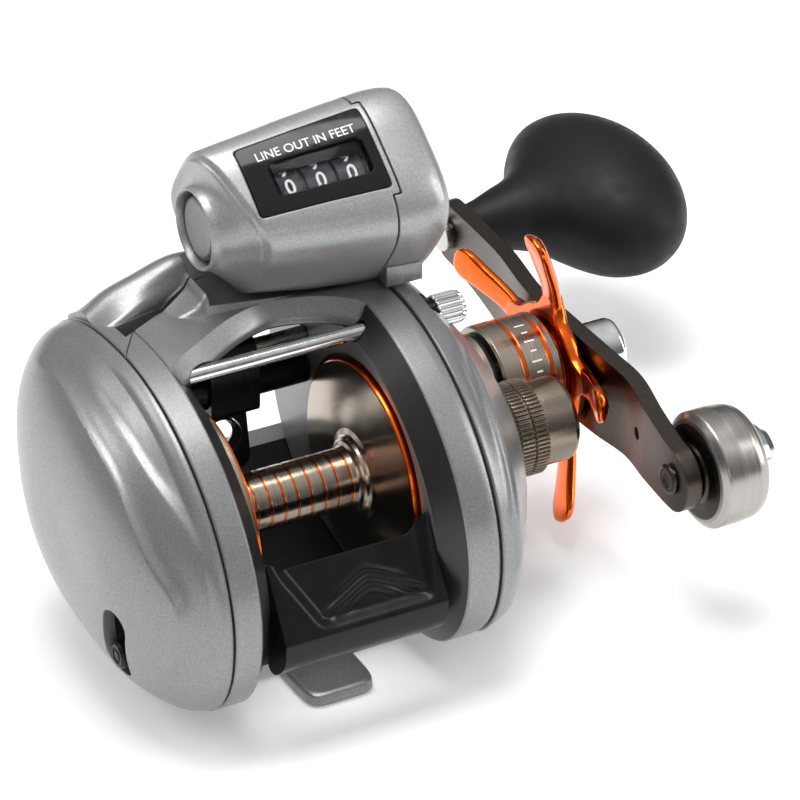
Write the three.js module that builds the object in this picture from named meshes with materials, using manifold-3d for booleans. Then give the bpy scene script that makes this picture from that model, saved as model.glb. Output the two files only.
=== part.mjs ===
// A low-profile trolling reel with a mechanical line counter, as an assembly of separate pieces.
// Millimetres. +X is the handle side, +Y points to the rod tip, +Z is up.
// The origin is the centre of the reel foot's flat underside.
import * as THREE from 'three';
import { mergeVertices } from 'three/addons/utils/BufferGeometryUtils.js';
import Module from 'manifold-3d';

const wasm = await Module();
wasm.setup();

// ---------------------------------------------------------------- driving dimensions
const GAP = 0.3; // clearance between pieces that touch

// Shaft axes all run along X. Their [y, z] places are taken from the spool axis.
const SPOOL_AXIS_Y = -8;
const SPOOL_AXIS_Z = 33;
const DRIVE_AXIS = [20, -1];
const WORM_AXIS = [25, 10.5];
const GUIDE_ROD_AXIS = [25, 17.7];
const COUNTER_AXIS = [21, 48.5];
const COVER_SCREW_AXIS = [4.5, 28];

// Frame: two rings joined by a hood, a floor and a front bar.
const FRAME_HALF_WIDTH = 27.5;
const FRAME_SKIN = 3;
const RING_LIP = 5; // how far a ring's lip slopes in from the outline
const LEFT_WALL = [-21, -18.2];
const RIGHT_WALL = [18.4, 21];
const FLOOR_UNDERSIDE = -29.9;
const OUTLINE_CENTRE = [3, 1];

const FOOT_LENGTH = 64;
const FOOT_WIDTH = 14.6;
const FOOT_THICKNESS = 2.8;
const FOOT_SCREW_Y = [-7, 9];

// Spool and its supports.
const FLANGE_RADIUS = 22.6;
const SPOOL_RECESS_RADIUS = 23.2;
const ARBOR_RADIUS = 5.8;
const SPOOL_HALF_WIDTH = 17.6;
const SPOOL_SHAFT_RADIUS = 1.5;
const BEARING_RADIUS = 5;
const CAST_KNOB_RADIUS = 9.5;

// Gear trains. The centre distance of each pair sets its module.
const DRIVE_TEETH = 50;
const PINION_TEETH = 12;
const WORM_DRIVE_TEETH = 18;
const WORM_TEETH = 12;
const DRIVE_SHAFT_RADIUS = 2.8;
const DRIVE_BORE = 3.1;

// Handle side, outside the cover. Its pieces are drawn from a plane this far out from the frame's middle.
const HANDLE_SIDE_X = 1.6;
const STAR_HUB_RADIUS = 11.3;
const STAR_TIP_RADIUS = 31;
const STAR_ARMS = 5;
const STAR_FIRST_ARM_DEG = 22.8;
const KNOB_REACH = 56.4;
const KNOB_HALF_WIDTH = 26; // along Y
const KNOB_HALF_HEIGHT = 14.7;
const WEIGHT_REACH = -48.3;
const WEIGHT_RADIUS = 11.6;

// Line counter. Its window faces back and up.
const WINDOW_TILT = THREE.MathUtils.degToRad(126.2);
const WHEEL_RADIUS = 6.1;
const WHEEL_WIDTH = 5.8;
const WHEEL_X = [8, 14.4, 20.8];
const WHEEL_HEIGHT = 6.5; // out from the counter axis, towards the window
const WHEEL_DOWN = 1.4; // down the window face from its middle
const HOUSING_END_X = 25.7;
const HOUSING_SLANT = 0.286; // how far along X the housing's left end leans, per mm down the window face

// ---------------------------------------------------------------- solids
function signedVolume(points, triangles) {
  const corner = [new THREE.Vector3(), new THREE.Vector3(), new THREE.Vector3()];
  let volume = 0;
  for (let t = 0; t < triangles.length; t += 3) {
    corner.forEach((v, k) => v.fromArray(points, 3 * triangles[t + k]));
    volume += corner[0].dot(corner[1].clone().cross(corner[2])) / 6;
  }
  return volume;
}

// Welds a closed geometry, drops its empty triangles and turns its faces outwards.
function toManifold(geometry) {
  const bare = geometry.clone();
  bare.deleteAttribute('normal');
  bare.deleteAttribute('uv');
  const welded = mergeVertices(bare, 1e-4);
  const points = new Float32Array(welded.attributes.position.array);
  const triangles = [];
  for (let t = 0; t < welded.index.count; t += 3) {
    const [a, b, c] = [0, 1, 2].map((k) => welded.index.getX(t + k));
    if (a !== b && b !== c && c !== a) triangles.push(a, b, c);
  }
  if (signedVolume(points, triangles) < 0) triangles.reverse();
  const mesh = new wasm.Mesh({
    numProp: 3,
    vertProperties: points,
    triVerts: new Uint32Array(triangles),
  });
  return new wasm.Manifold(mesh);
}

function toGeometry(manifold) {
  const mesh = manifold.getMesh();
  const geometry = new THREE.BufferGeometry();
  geometry.setAttribute('position', new THREE.BufferAttribute(mesh.vertProperties, 3));
  geometry.setIndex(new THREE.BufferAttribute(mesh.triVerts, 1));
  return geometry;
}

function join(first, ...others) {
  return toGeometry(others.reduce((sum, one) => sum.add(toManifold(one)), toManifold(first)));
}

function cut(first, ...cutters) {
  return toGeometry(cutters.reduce((rest, one) => rest.subtract(toManifold(one)), toManifold(first)));
}

function common(first, second) {
  return toGeometry(toManifold(first).intersect(toManifold(second)));
}

// Turned about the X axis from a profile of [x, radius] pairs.
function turned(profile, segments = 20) {
  const points = profile.map(([x, radius]) => new THREE.Vector2(radius, x));
  return new THREE.LatheGeometry(points, segments).rotateZ(-Math.PI / 2);
}

function rod(x0, x1, radius, segments = 16) {
  return turned([[x0, 0], [x0, radius], [x1, radius], [x1, 0]], segments);
}

function tube(x0, x1, outer, inner, segments = 20) {
  return turned([[x0, inner], [x0, outer], [x1, outer], [x1, inner], [x0, inner]], segments);
}

function block(x0, x1, y0, y1, z0, z1) {
  const box = new THREE.BoxGeometry(x1 - x0, y1 - y0, z1 - z0);
  return box.translate((x0 + x1) / 2, (y0 + y1) / 2, (z0 + z1) / 2);
}

function extruded(shape, depth) {
  return new THREE.ExtrudeGeometry(shape, { depth, bevelEnabled: false, curveSegments: 7 });
}

// A shape drawn in Y and Z, extruded along X.
function across(shape, x0, x1) {
  const turn = new THREE.Matrix4();
  turn.makeBasis(new THREE.Vector3(0, 1, 0), new THREE.Vector3(0, 0, 1), new THREE.Vector3(1, 0, 0));
  return extruded(shape, x1 - x0).applyMatrix4(turn).translate(x0, 0, 0);
}

// A shape drawn in X and Y, extruded along Z.
function upright(shape, z0, z1) {
  return extruded(shape, z1 - z0).translate(0, 0, z0);
}

function polygon(...corners) {
  return new THREE.Shape(corners.map(([a, b]) => new THREE.Vector2(a, b)));
}

function at(geometry, [y, z], x = 0) {
  return geometry.translate(x, y, z);
}

// Skins a list of rings with equal point counts, and closes both ends with a fan.
function lofted(rings) {
  const count = rings[0].length;
  const points = rings.flat();
  const index = [];
  for (let r = 0; r + 1 < rings.length; r += 1) {
    for (let k = 0; k < count; k += 1) {
      const a = r * count + k;
      const b = r * count + ((k + 1) % count);
      index.push(a, b, b + count, a, b + count, a + count);
    }
  }
  const fan = (ring, first, flip) => {
    const middle = ring.reduce((sum, p) => sum.add(p), new THREE.Vector3()).divideScalar(count);
    points.push(middle);
    for (let k = 0; k < count; k += 1) {
      const pair = [first + k, first + ((k + 1) % count)];
      if (flip) pair.reverse();
      index.push(points.length - 1, ...pair);
    }
  };
  fan(rings[0], 0, true);
  fan(rings.at(-1), (rings.length - 1) * count, false);
  const geometry = new THREE.BufferGeometry().setFromPoints(points);
  geometry.setIndex(index);
  return geometry;
}

// ---------------------------------------------------------------- the reel's side outline
function outlinePoints() {
  const outline = new THREE.Shape();
  outline.moveTo(-34.5, -5);
  outline.bezierCurveTo(-34.5, 14, -14, 32.5, 10, 32.5);
  outline.bezierCurveTo(32, 32.5, 45, 26, 45, 10);
  outline.bezierCurveTo(45, -17, 26, -29.7, -10, -29.7);
  outline.bezierCurveTo(-25, -29.7, -34.5, -20, -34.5, -5);
  return outline.getPoints(7).slice(0, -1);
}

// One ring of the outline at x, moved in by inset and then scaled about its centre.
function outlineRing(x, inset = 0, scale = 1) {
  const points = outlinePoints();
  return points.map((point, k) => {
    const before = points.at(k - 1);
    const after = points[(k + 1) % points.length];
    const inward = new THREE.Vector2(after.y - before.y, before.x - after.x).normalize();
    const moved = point.clone().addScaledVector(inward, inset);
    const [cy, cz] = OUTLINE_CENTRE;
    return new THREE.Vector3(x, cy + scale * (moved.x - cy), cz + scale * (moved.y - cz));
  });
}

// A solid that follows the outline, from [x, inset, scale] levels.
function outlineSolid(levels) {
  return lofted(levels.map((level) => outlineRing(...level)));
}

// ---------------------------------------------------------------- materials
function finish(color, roughness, metalness) {
  return new THREE.MeshStandardMaterial({ color, roughness, metalness });
}

const paint = finish('#8b8e91', 0.42, 0.6);
const darkPaint = finish('#4b4c50', 0.45, 0.6);
const blackPlastic = finish('#17181a', 0.45, 0.0);
const blackRubber = finish('#1c1c1d', 0.75, 0.0);
const steel = finish('#b9b9b6', 0.3, 1.0);
const chrome = finish('#d9dadc', 0.08, 1.0);
const champagne = finish('#7d7264', 0.28, 1.0);
const bronze = finish('#5d5247', 0.35, 1.0);
const orange = finish('#e8601a', 0.22, 0.9);
const brass = finish('#b08d4a', 0.3, 1.0);
const carbon = finish('#232323', 0.6, 0.1);
const ceramic = finish('#2b2b2e', 0.15, 0.0);
const lens = finish('#e6eaec', 0.05, 0.0);
const white = finish('#e9e9e6', 0.5, 0.0);

// ---------------------------------------------------------------- assembly
const reel = new THREE.Group();
reel.position.set(0, SPOOL_AXIS_Y, SPOOL_AXIS_Z);

function part(name, geometry, material, group = reel) {
  const mesh = new THREE.Mesh(toGeometry(toManifold(geometry)), material);
  mesh.name = name;
  group.add(mesh);
  return mesh;
}

function groupAt([y, z], x = 0) {
  const group = new THREE.Group();
  group.position.set(x, y, z);
  reel.add(group);
  return group;
}

const drive = groupAt(DRIVE_AXIS);
const handleSide = groupAt(DRIVE_AXIS, HANDLE_SIDE_X);
const worm = groupAt(WORM_AXIS);

// ---------------------------------------------------------------- line counter shapes
const windowNormal = [Math.cos(WINDOW_TILT), Math.sin(WINDOW_TILT)];
const windowDown = [-Math.sin(WINDOW_TILT), Math.cos(WINDOW_TILT)];

// A point of the counter: x, height out of the window face, and distance down that face.
function counterPoint(x, height, down) {
  const y = COUNTER_AXIS[0] + height * windowNormal[0] + down * windowDown[0];
  const z = COUNTER_AXIS[1] + height * windowNormal[1] + down * windowDown[1];
  return new THREE.Vector3(x, y, z);
}

const wheelPoint = counterPoint(0, WHEEL_HEIGHT, WHEEL_DOWN);
const WHEEL_CENTRE = [wheelPoint.y, wheelPoint.z];

// A rounded-square ring about the counter axis, which leans along X by slant for each mm down the window face.
function housingRing(x, tall, wide, slant = 0, points = 24) {
  const power = 2 / 3.4;
  return Array.from({ length: points }, (_, k) => {
    const angle = (k / points) * 2 * Math.PI;
    const [c, s] = [Math.cos(angle), Math.sin(angle)];
    const height = tall * Math.sign(c) * Math.abs(c) ** power;
    const down = wide * Math.sign(s) * Math.abs(s) ** power;
    return counterPoint(x + slant * down, height, down);
  });
}

function housingSolid(levels) {
  return lofted(levels.map((level) => housingRing(...level)));
}

// The counter's outside, with its end cap, moved out by offset.
function counterOutside(offset = 0) {
  const levels = [
    [-3.2, 11.4, 11, HOUSING_SLANT],
    [-2.2, 12.9, 12.6, HOUSING_SLANT],
    [12, 14.3, 14.6, 0.04],
    [30.3, 15.2, 16.4, 0],
    [36, 14.9, 16, 0],
    [37.8, 13.4, 14.2, 0],
    [38.6, 11, 11.6, 0],
  ];
  return housingSolid(levels.map(([x, tall, wide, slant]) => [x, tall + offset, wide + offset, slant]));
}

function counterInside() {
  return housingSolid([
    [0.2, 10.9, 10.6, HOUSING_SLANT],
    [12, 12.3, 12.6, 0.04],
    [30.3, 13.1, 14.3],
    [35.5, 12.6, 13.6],
  ]);
}

// A box laid in the window's own directions.
function windowBlock(x0, x1, height0, height1, down0, down1) {
  const ring = (x) => [
    counterPoint(x, height0, down0),
    counterPoint(x, height1, down0),
    counterPoint(x, height1, down1),
    counterPoint(x, height0, down1),
  ];
  return lofted([ring(x0), ring(x1)]);
}

// A block with the window panel's outline, which widens towards the handle side.
function panelBlock(grow) {
  const ring = (x, top, bottom) => [
    counterPoint(x, 8, top - grow),
    counterPoint(x, 25, top - grow),
    counterPoint(x, 25, bottom + grow),
    counterPoint(x, 8, bottom + grow),
  ];
  return lofted([ring(-grow, -7.9, 6.2), ring(26.2 + grow, -10, 7.2)]);
}

// Beside the panel the housing reaches further over the end cap, as a narrow rail.
function housingReach(grow) {
  const body = block(-20, HOUSING_END_X + grow, -20, 60, 20, 80);
  const rail = windowBlock(20, 27.3 + grow, 0, 25, -11.2 - grow, 8.7 + grow);
  return join(body, rail);
}

function counterHousing() {
  const boss = turned([[-8, 0], [-8, 7.9], [-7.6, 8.1], [-3.4, 9.6], [2.5, 9.6], [2.5, 0]], 32);
  const buttonBore = rod(-12, -2, 7.1, 28);
  const pocket = cut(panelBlock(GAP), counterOutside(-1.5));
  const opening = windowBlock(3.4, 24.8, 6, 20, -4.2, 5.7);
  const axleSeat = at(rod(-2.4, 4, 1.4, 16), WHEEL_CENTRE);
  const body = common(join(counterOutside(), at(boss, COUNTER_AXIS)), housingReach(0));
  return cut(body, counterInside(), at(buttonBore, COUNTER_AXIS), pocket, opening, axleSeat);
}

function counterClearance() {
  return housingSolid([
    [-6.9, 13.4, 13.1],
    [12, 14.9, 15.2],
    [39.3, 16, 17.2],
  ]);
}

function counterBezel() {
  const panel = cut(common(panelBlock(0), counterOutside(0.1)), counterOutside(-1.2));
  return cut(panel, windowBlock(3.9, 24.3, 5, 20, -3.8, 3.5));
}

function counterLens() {
  const window = windowBlock(4.2, 24, 8, 25, -3.5, 3.2);
  return cut(common(window, counterOutside(-0.2)), counterOutside(-1));
}

function counterEndCap() {
  const shell = cut(counterOutside(), counterInside(), housingReach(GAP));
  const axleBoss = at(tube(30.8, 36, 2.6, 1.4, 20), WHEEL_CENTRE);
  return join(shell, axleBoss);
}

function digitWheel(x) {
  const half = WHEEL_WIDTH / 2;
  return tube(x - half, x + half, WHEEL_RADIUS, 1.4, 20);
}

// ---------------------------------------------------------------- frame and covers
// The hood seen from above: its back edge is a low arch over the spool window.
function hoodPlan() {
  const arch = [[-20.6, 0.6], [-18, 2.6], [-12.4, 5.7], [-3, 11.2], [4.4, 13.3], [12.6, 10.8], [18.6, 6], [20.2, 1]];
  const plan = new THREE.Shape();
  plan.moveTo(-22, -3);
  plan.splineThru([...arch, [19.5, -6]].map(([x, y]) => new THREE.Vector2(x, y)));
  plan.lineTo(22, -6);
  plan.lineTo(22, 37);
  plan.lineTo(-22, 37);
  return plan;
}

// A solid through cross-sections, each given as its x and its corners [y, z].
function throughSections(sections) {
  return lofted(sections.map(([x, corners]) => corners.map(([y, z]) => new THREE.Vector3(x, y, z))));
}

// The front arm rises from the left ring to the counter, in front of the slit.
function frontArm() {
  const section = (x, base, step, crestY, crestZ) => [x, [
    [base, 28],
    [base, step],
    [crestY - 2.5, crestZ - 0.9],
    [crestY, crestZ],
    [crestY + 3, crestZ - 1.4],
    [37, 27.5],
    [36, 24],
  ]];
  return throughSections([
    section(-27.3, 21.4, 31.4, 29, 31.9),
    section(-22, 22.4, 32.4, 30, 34.6),
    section(-16, 24.3, 33.2, 30, 36.6),
    section(-9, 25.8, 33.8, 30, 38.7),
    section(-3, 26.2, 34.4, 30, 38.6),
    section(4, 26.2, 34.4, 30, 37.6),
  ]);
}

// The saddle under the counter grows out of the hood.
function counterSaddle() {
  return throughSections([
    [-13, [[16, 30], [17, 32.2], [24, 32], [25, 28]]],
    [-3, [[15, 30], [18, 37], [30, 37.5], [36, 26]]],
    [25, [[15, 30], [18, 37], [30, 37], [36, 26]]],
  ]);
}

function mainFrame() {
  const leftRing = cut(
    outlineSolid([[-FRAME_HALF_WIDTH, 0], [-22, 0], [LEFT_WALL[1], RING_LIP]]),
    outlineSolid([[-FRAME_HALF_WIDTH - 1, FRAME_SKIN], [LEFT_WALL[0], FRAME_SKIN]]),
    rod(-30, -10, SPOOL_RECESS_RADIUS, 36),
  );
  const rightRing = cut(
    outlineSolid([[16.8, RING_LIP], [21, 0], [FRAME_HALF_WIDTH, 0]]),
    outlineSolid([[RIGHT_WALL[1], FRAME_SKIN], [FRAME_HALF_WIDTH + 1, FRAME_SKIN]]),
    rod(10, RIGHT_WALL[0], SPOOL_RECESS_RADIUS, 36),
  );
  const band = cut(outlineSolid([[-22, 0], [21, 0]]), outlineSolid([[-23, 4.5], [22, 4.5]]));
  const hood = common(band, upright(hoodPlan(), 12, 40));
  const floor = common(band, block(-20, 20, -10.5, 26, -34, -18));
  const noseBar = common(band, block(-20, 20, 22, 50, -24, -11));
  const solid = join(leftRing, rightRing, hood, floor, noseBar, frontArm(), counterSaddle());
  const slitPlan = polygon([-24.5, 16.5], [-15.2, 22.3], [-8.6, 24.6], [-2.3, 26], [-14.3, 24.7], [-24.5, 21.6]);
  const slit = upright(slitPlan, 20, 45);
  const footRoom = block(-7.8, 7.8, -30, 46, -34, FLOOR_UNDERSIDE);
  const screwHoles = FOOT_SCREW_Y.map((y) => verticalRod(y, -34, -20, 1.6));
  const headRooms = FOOT_SCREW_Y.map((y) => verticalRod(y, -26.4, -20, 2.9));
  return cut(
    solid,
    slit,
    footRoom,
    ...screwHoles,
    ...headRooms,
    rod(15, 24, BEARING_RADIUS + GAP),
    at(rod(-20, 20.3, 1.8), GUIDE_ROD_AXIS),
    at(rod(-20, 24, 2.5), WORM_AXIS),
    at(rod(-20.3, 30, 1.9), COVER_SCREW_AXIS),
    counterClearance(),
  );
}

// A vertical pin at [0, y] from the spool axis, with z given from the spool axis too.
function verticalRod(y, z0, z1, radius, segments = 20) {
  const pin = new THREE.CylinderGeometry(radius, radius, z1 - z0, segments);
  return pin.rotateX(Math.PI / 2).translate(0, y, (z0 + z1) / 2);
}

function reelFoot() {
  const halfWidth = FOOT_WIDTH / 2;
  const straight = FOOT_LENGTH / 2 - halfWidth;
  const plan = new THREE.Shape();
  plan.moveTo(halfWidth, -straight);
  plan.lineTo(halfWidth, straight);
  plan.absarc(0, straight, halfWidth, 0, Math.PI);
  plan.lineTo(-halfWidth, -straight);
  plan.absarc(0, -straight, halfWidth, Math.PI, 2 * Math.PI);
  const plate = upright(plan, 0, FOOT_THICKNESS);
  const holes = FOOT_SCREW_Y.map((y) => verticalRod(y + SPOOL_AXIS_Y, 0.8, 5, 1.6));
  // The foot's own frame is the reel's, so it is moved back into the spool-axis group.
  return cut(plate, ...holes).translate(0, -SPOOL_AXIS_Y, -SPOOL_AXIS_Z);
}

function footScrew(y) {
  const shank = verticalRod(y, -32, -25.6, 1.3);
  const head = verticalRod(y, -26.1, -24.6, 2.5);
  return join(shank, head);
}

const LEFT_DOME = [
  [-28, 0, 1],
  [-32, 0, 0.965],
  [-36, 0, 0.88],
  [-39.5, 0, 0.76],
  [-42.2, 0, 0.6],
  [-43.8, 0, 0.42],
  [-44.3, 0, 0.22],
];
const RIGHT_DOME = [
  [28, 0, 1],
  [32.5, 0, 0.955],
  [35.5, 0, 0.85],
  [38.6, 0, 0.72],
  [41.9, 0, 0.57],
  [44.2, 0, 0.4],
];

// The inside of a dome, one wall thickness in from its outside.
function domeInside(levels, wall) {
  const side = Math.sign(levels[0][0]);
  return levels.slice(0, -1).map(([x, inset, scale], k) => {
    const depth = k === 0 ? 1 : wall;
    return [x - side * depth, inset + wall, scale];
  });
}

const CLICKER_AXIS = [-13.3, -15.7];
const CLICKER_SLOT = [-14, -12.5]; // the slot's middle, above the knob
const CLICKER_SLOPE = -1.36; // radians, the way the slot runs

function leftSideCover() {
  const shell = cut(outlineSolid(LEFT_DOME), outlineSolid(domeInside(LEFT_DOME, 2.2)));
  const bearingBoss = tube(-43.5, -23.2, 7.4, BEARING_RADIUS + GAP);
  const bearingStop = tube(-43.5, -26.4, 7.4, 2.2);
  const slot = across(slotShape(9, 2.6), -50, -30).rotateX(CLICKER_SLOPE);
  return cut(join(shell, bearingBoss, bearingStop), at(slot, CLICKER_SLOT));
}

// A slot with round ends, drawn about its own middle.
function slotShape(length, halfWidth) {
  const shape = new THREE.Shape();
  shape.absarc(length / 2, 0, halfWidth, -Math.PI / 2, Math.PI / 2);
  shape.absarc(-length / 2, 0, halfWidth, Math.PI / 2, 1.5 * Math.PI);
  return shape;
}

function rightSideCover() {
  const shell = cut(outlineSolid(RIGHT_DOME), outlineSolid(domeInside(RIGHT_DOME, 1.9)));
  const castBoss = tube(41.5, 54, 6, 4.8);
  const castPad = tube(41.5, 45.4, 8.6, 5);
  const driveBoss = at(tube(38, 51.6, 9.3, 8.3), DRIVE_AXIS);
  const driveStop = at(tube(47.9, 51.6, 9.3, 5.4), DRIVE_AXIS);
  const openings = [
    at(rod(37, 47.9, 8.3), DRIVE_AXIS),
    at(rod(47, 60, 5.4), DRIVE_AXIS),
    at(rod(27, 50, 1.9), COVER_SCREW_AXIS),
    at(rod(32, 50, 4, 28), COVER_SCREW_AXIS),
    counterClearance(),
  ];
  const opened = cut(shell, ...openings);
  const bearingSeat = rod(37, 60, 4.8); // open right through, from inside the cover
  return cut(join(opened, castBoss, castPad, driveBoss, driveStop), bearingSeat);
}

function thumbBar() {
  const section = polygon(
    [-26.6, 2.2], [-29.6, -2.6], [-34.2, -9.6], [-33.8, -14.5], [-29.5, -18.6],
    [-26.5, -18.8], [-25.2, -12], [-24.6, -3],
  );
  return cut(across(section, -17.2, 16.5), rod(-20, 20, 23.6, 40));
}

// ---------------------------------------------------------------- gears
// A spur gear about X with straight-flanked teeth, thinned to leave backlash.
function spurGear(teeth, module, x0, x1, bore, phase = 0) {
  const pitchRadius = (teeth * module) / 2;
  const step = (2 * Math.PI) / teeth;
  const tip = pitchRadius + 0.85 * module;
  const root = pitchRadius - 1.15 * module;
  const shape = new THREE.Shape();
  for (let k = 0; k < teeth; k += 1) {
    const middle = phase + k * step;
    const corners = [[root, -0.3], [tip, -0.13], [tip, 0.13], [root, 0.3]];
    corners.forEach(([radius, share], c) => {
      const angle = middle + share * step;
      const [y, z] = [radius * Math.cos(angle), radius * Math.sin(angle)];
      if (k === 0 && c === 0) shape.moveTo(y, z);
      else shape.lineTo(y, z);
    });
  }
  const hole = new THREE.Path();
  hole.absarc(0, 0, bore, 0, 2 * Math.PI);
  shape.holes.push(hole);
  return across(shape, x0, x1);
}

// The tooth phase that lets a second gear mesh with a first gear of phase 0.
function meshingPhase(from, to, firstTeeth, secondTeeth) {
  const line = Math.atan2(to[1] - from[1], to[0] - from[0]);
  const firstStep = (2 * Math.PI) / firstTeeth;
  const secondStep = (2 * Math.PI) / secondTeeth;
  const intoTooth = (line / firstStep) % 1;
  return line + Math.PI + (0.5 + intoTooth) * secondStep;
}

const pinionDistance = Math.hypot(...DRIVE_AXIS);
const mainModule = (2 * pinionDistance) / (DRIVE_TEETH + PINION_TEETH);
const wormOffset = [WORM_AXIS[0] - DRIVE_AXIS[0], WORM_AXIS[1] - DRIVE_AXIS[1]];
const wormModule = (2 * Math.hypot(...wormOffset)) / (WORM_DRIVE_TEETH + WORM_TEETH);

function pinionGear() {
  const phase = meshingPhase(DRIVE_AXIS, [0, 0], DRIVE_TEETH, PINION_TEETH);
  const teeth = spurGear(PINION_TEETH, mainModule, 26.5, 36, 1.8, phase);
  const collar = turned([
    [22.6, 1.8], [22.6, 4.4], [24.2, 4.4], [24.2, 3], [26.1, 3], [26.1, 4.4], [26.7, 4.4],
    [26.7, 1.8], [22.6, 1.8],
  ], 28);
  return join(teeth, collar);
}

function clutchYoke() {
  const plate = across(slotShape(16, 4.9), 24.7, 25.7).rotateX(Math.PI / 2);
  return cut(plate, rod(20, 30, 3.3), ...[-9, 9].map((z) => at(rod(20, 30, 1.1, 16), [0, z])));
}

// A compression spring about X.
function coilSpring(x0, x1, radius, wire, turns) {
  const steps = turns * 8;
  const path = new THREE.CatmullRomCurve3(
    Array.from({ length: steps + 1 }, (_, k) => {
      const angle = (k / 8) * 2 * Math.PI;
      const x = x0 + ((x1 - x0) * k) / steps;
      return new THREE.Vector3(x, radius * Math.cos(angle), radius * Math.sin(angle));
    }),
  );
  const section = new THREE.Shape();
  section.absarc(0, 0, wire, 0, 2 * Math.PI);
  return new THREE.ExtrudeGeometry(section, { steps, extrudePath: path, curveSegments: 2 });
}

// ---------------------------------------------------------------- spool
function spoolBody() {
  const half = [
    [0, ARBOR_RADIUS],
    [12.8, ARBOR_RADIUS],
    [14, 6.6],
    [14.6, 8.2],
    [15.1, 14],
    [15.9, FLANGE_RADIUS],
    [17, FLANGE_RADIUS],
    [17.4, 21.5],
    [16.6, 19.6],
    [16, 7.6],
    [SPOOL_HALF_WIDTH, 5.6],
    [SPOOL_HALF_WIDTH, 1.8],
  ];
  const left = half.slice(1).map(([x, radius]) => [-x, radius]).reverse();
  return turned([...left, ...half.slice(1), left[0]], 28);
}

function castControlKnob() {
  return turned([
    [45.9, 6.3], [45.9, 9], [46.3, CAST_KNOB_RADIUS], [48.8, CAST_KNOB_RADIUS], [49, 8.8],
    [49.3, 8.8], [49.5, CAST_KNOB_RADIUS], [52.1, CAST_KNOB_RADIUS], [52.5, 8.3], [59, 8.3],
    [59.8, 7.4], [59.8, 0], [56, 0], [56, 6.3], [45.9, 6.3],
  ], 28);
}

// ---------------------------------------------------------------- level wind
function wormTube() {
  const slot = block(-14, 14, -1.2, 1.2, -5, 0);
  return cut(tube(-17.9, 16.5, 3.3, 2.6), slot);
}

function lineGuide() {
  const side = polygon(
    [21, 5.4], [30, 5.4], [31, 9], [30, 20.6], [22.5, 20.6], [20.6, 14],
  );
  const carriage = across(side, -5.2, 5.2);
  const apron = along(polygon([-5.2, 7], [5.2, 7], [6.4, -9], [5, -11], [-5, -11], [-6.4, -9]), 28, 31);
  const eye = along(circleShape(4.6), 20, 40).translate(0, 0, -3);
  return cut(
    join(carriage, apron),
    at(rod(-10, 10, 1.8), GUIDE_ROD_AXIS),
    at(rod(-10, 10, 3.6), WORM_AXIS),
    at(block(-1.6, 1.6, -1.6, 1.6, -8, 0), WORM_AXIS),
    eye,
  );
}

// A shape drawn in X and Z, extruded along Y.
function along(shape, y0, y1) {
  const turn = new THREE.Matrix4();
  turn.makeBasis(new THREE.Vector3(1, 0, 0), new THREE.Vector3(0, 0, 1), new THREE.Vector3(0, -1, 0));
  return extruded(shape, y1 - y0).applyMatrix4(turn).translate(0, y1, 0);
}

function circleShape(radius) {
  const shape = new THREE.Shape();
  shape.absarc(0, 0, radius, 0, 2 * Math.PI);
  return shape;
}

function lineEye() {
  const ring = turned([[-2, 4.3], [0, 3.2], [2, 4.3], [-2, 4.3]], 28);
  return ring.rotateZ(Math.PI / 2).translate(0, 29.5, -3);
}

// ---------------------------------------------------------------- handle
// One star arm: a round-backed finger that leans back over the hub and swells at its tip.
function starArm(angle) {
  const path = [
    [6.5, 66.8, 3, 1.7],
    [12, 66.8, 2.6, 1.6],
    [18, 65.9, 2.7, 1.6],
    [24, 63.8, 3.4, 1.7],
    [28, 62.3, 3.7, 1.7],
    [30.2, 61.6, 2.8, 1.4],
    [STAR_TIP_RADIUS, 61.3, 1, 0.6],
  ];
  const rings = path.map(([radius, x, wide, thick]) => Array.from({ length: 7 }, (_, k) => {
    const turn = (k / 7) * 2 * Math.PI;
    return new THREE.Vector3(x + thick * Math.sin(turn), radius, wide * Math.cos(turn));
  }));
  return lofted(rings).rotateX(angle);
}

function starDrag() {
  const hub = turned([
    [51.3, 5.4], [51.3, 10.9], [51.8, STAR_HUB_RADIUS], [64, STAR_HUB_RADIUS], [64.8, 10],
    [65, 8.6], [68.2, 7.6], [68.2, 3.5], [54, 3.5], [54, 5.4], [51.3, 5.4],
  ], 28);
  const first = THREE.MathUtils.degToRad(STAR_FIRST_ARM_DEG);
  const arms = Array.from({ length: STAR_ARMS }, (_, k) => starArm(first + (k * 2 * Math.PI) / STAR_ARMS));
  const web = turned([[65.2, 7], [65.2, 12.4], [65.8, 13], [67.6, 13], [68.2, 12.4], [68.2, 7], [65.2, 7]], 40);
  return join(hub, web, ...arms);
}

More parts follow.
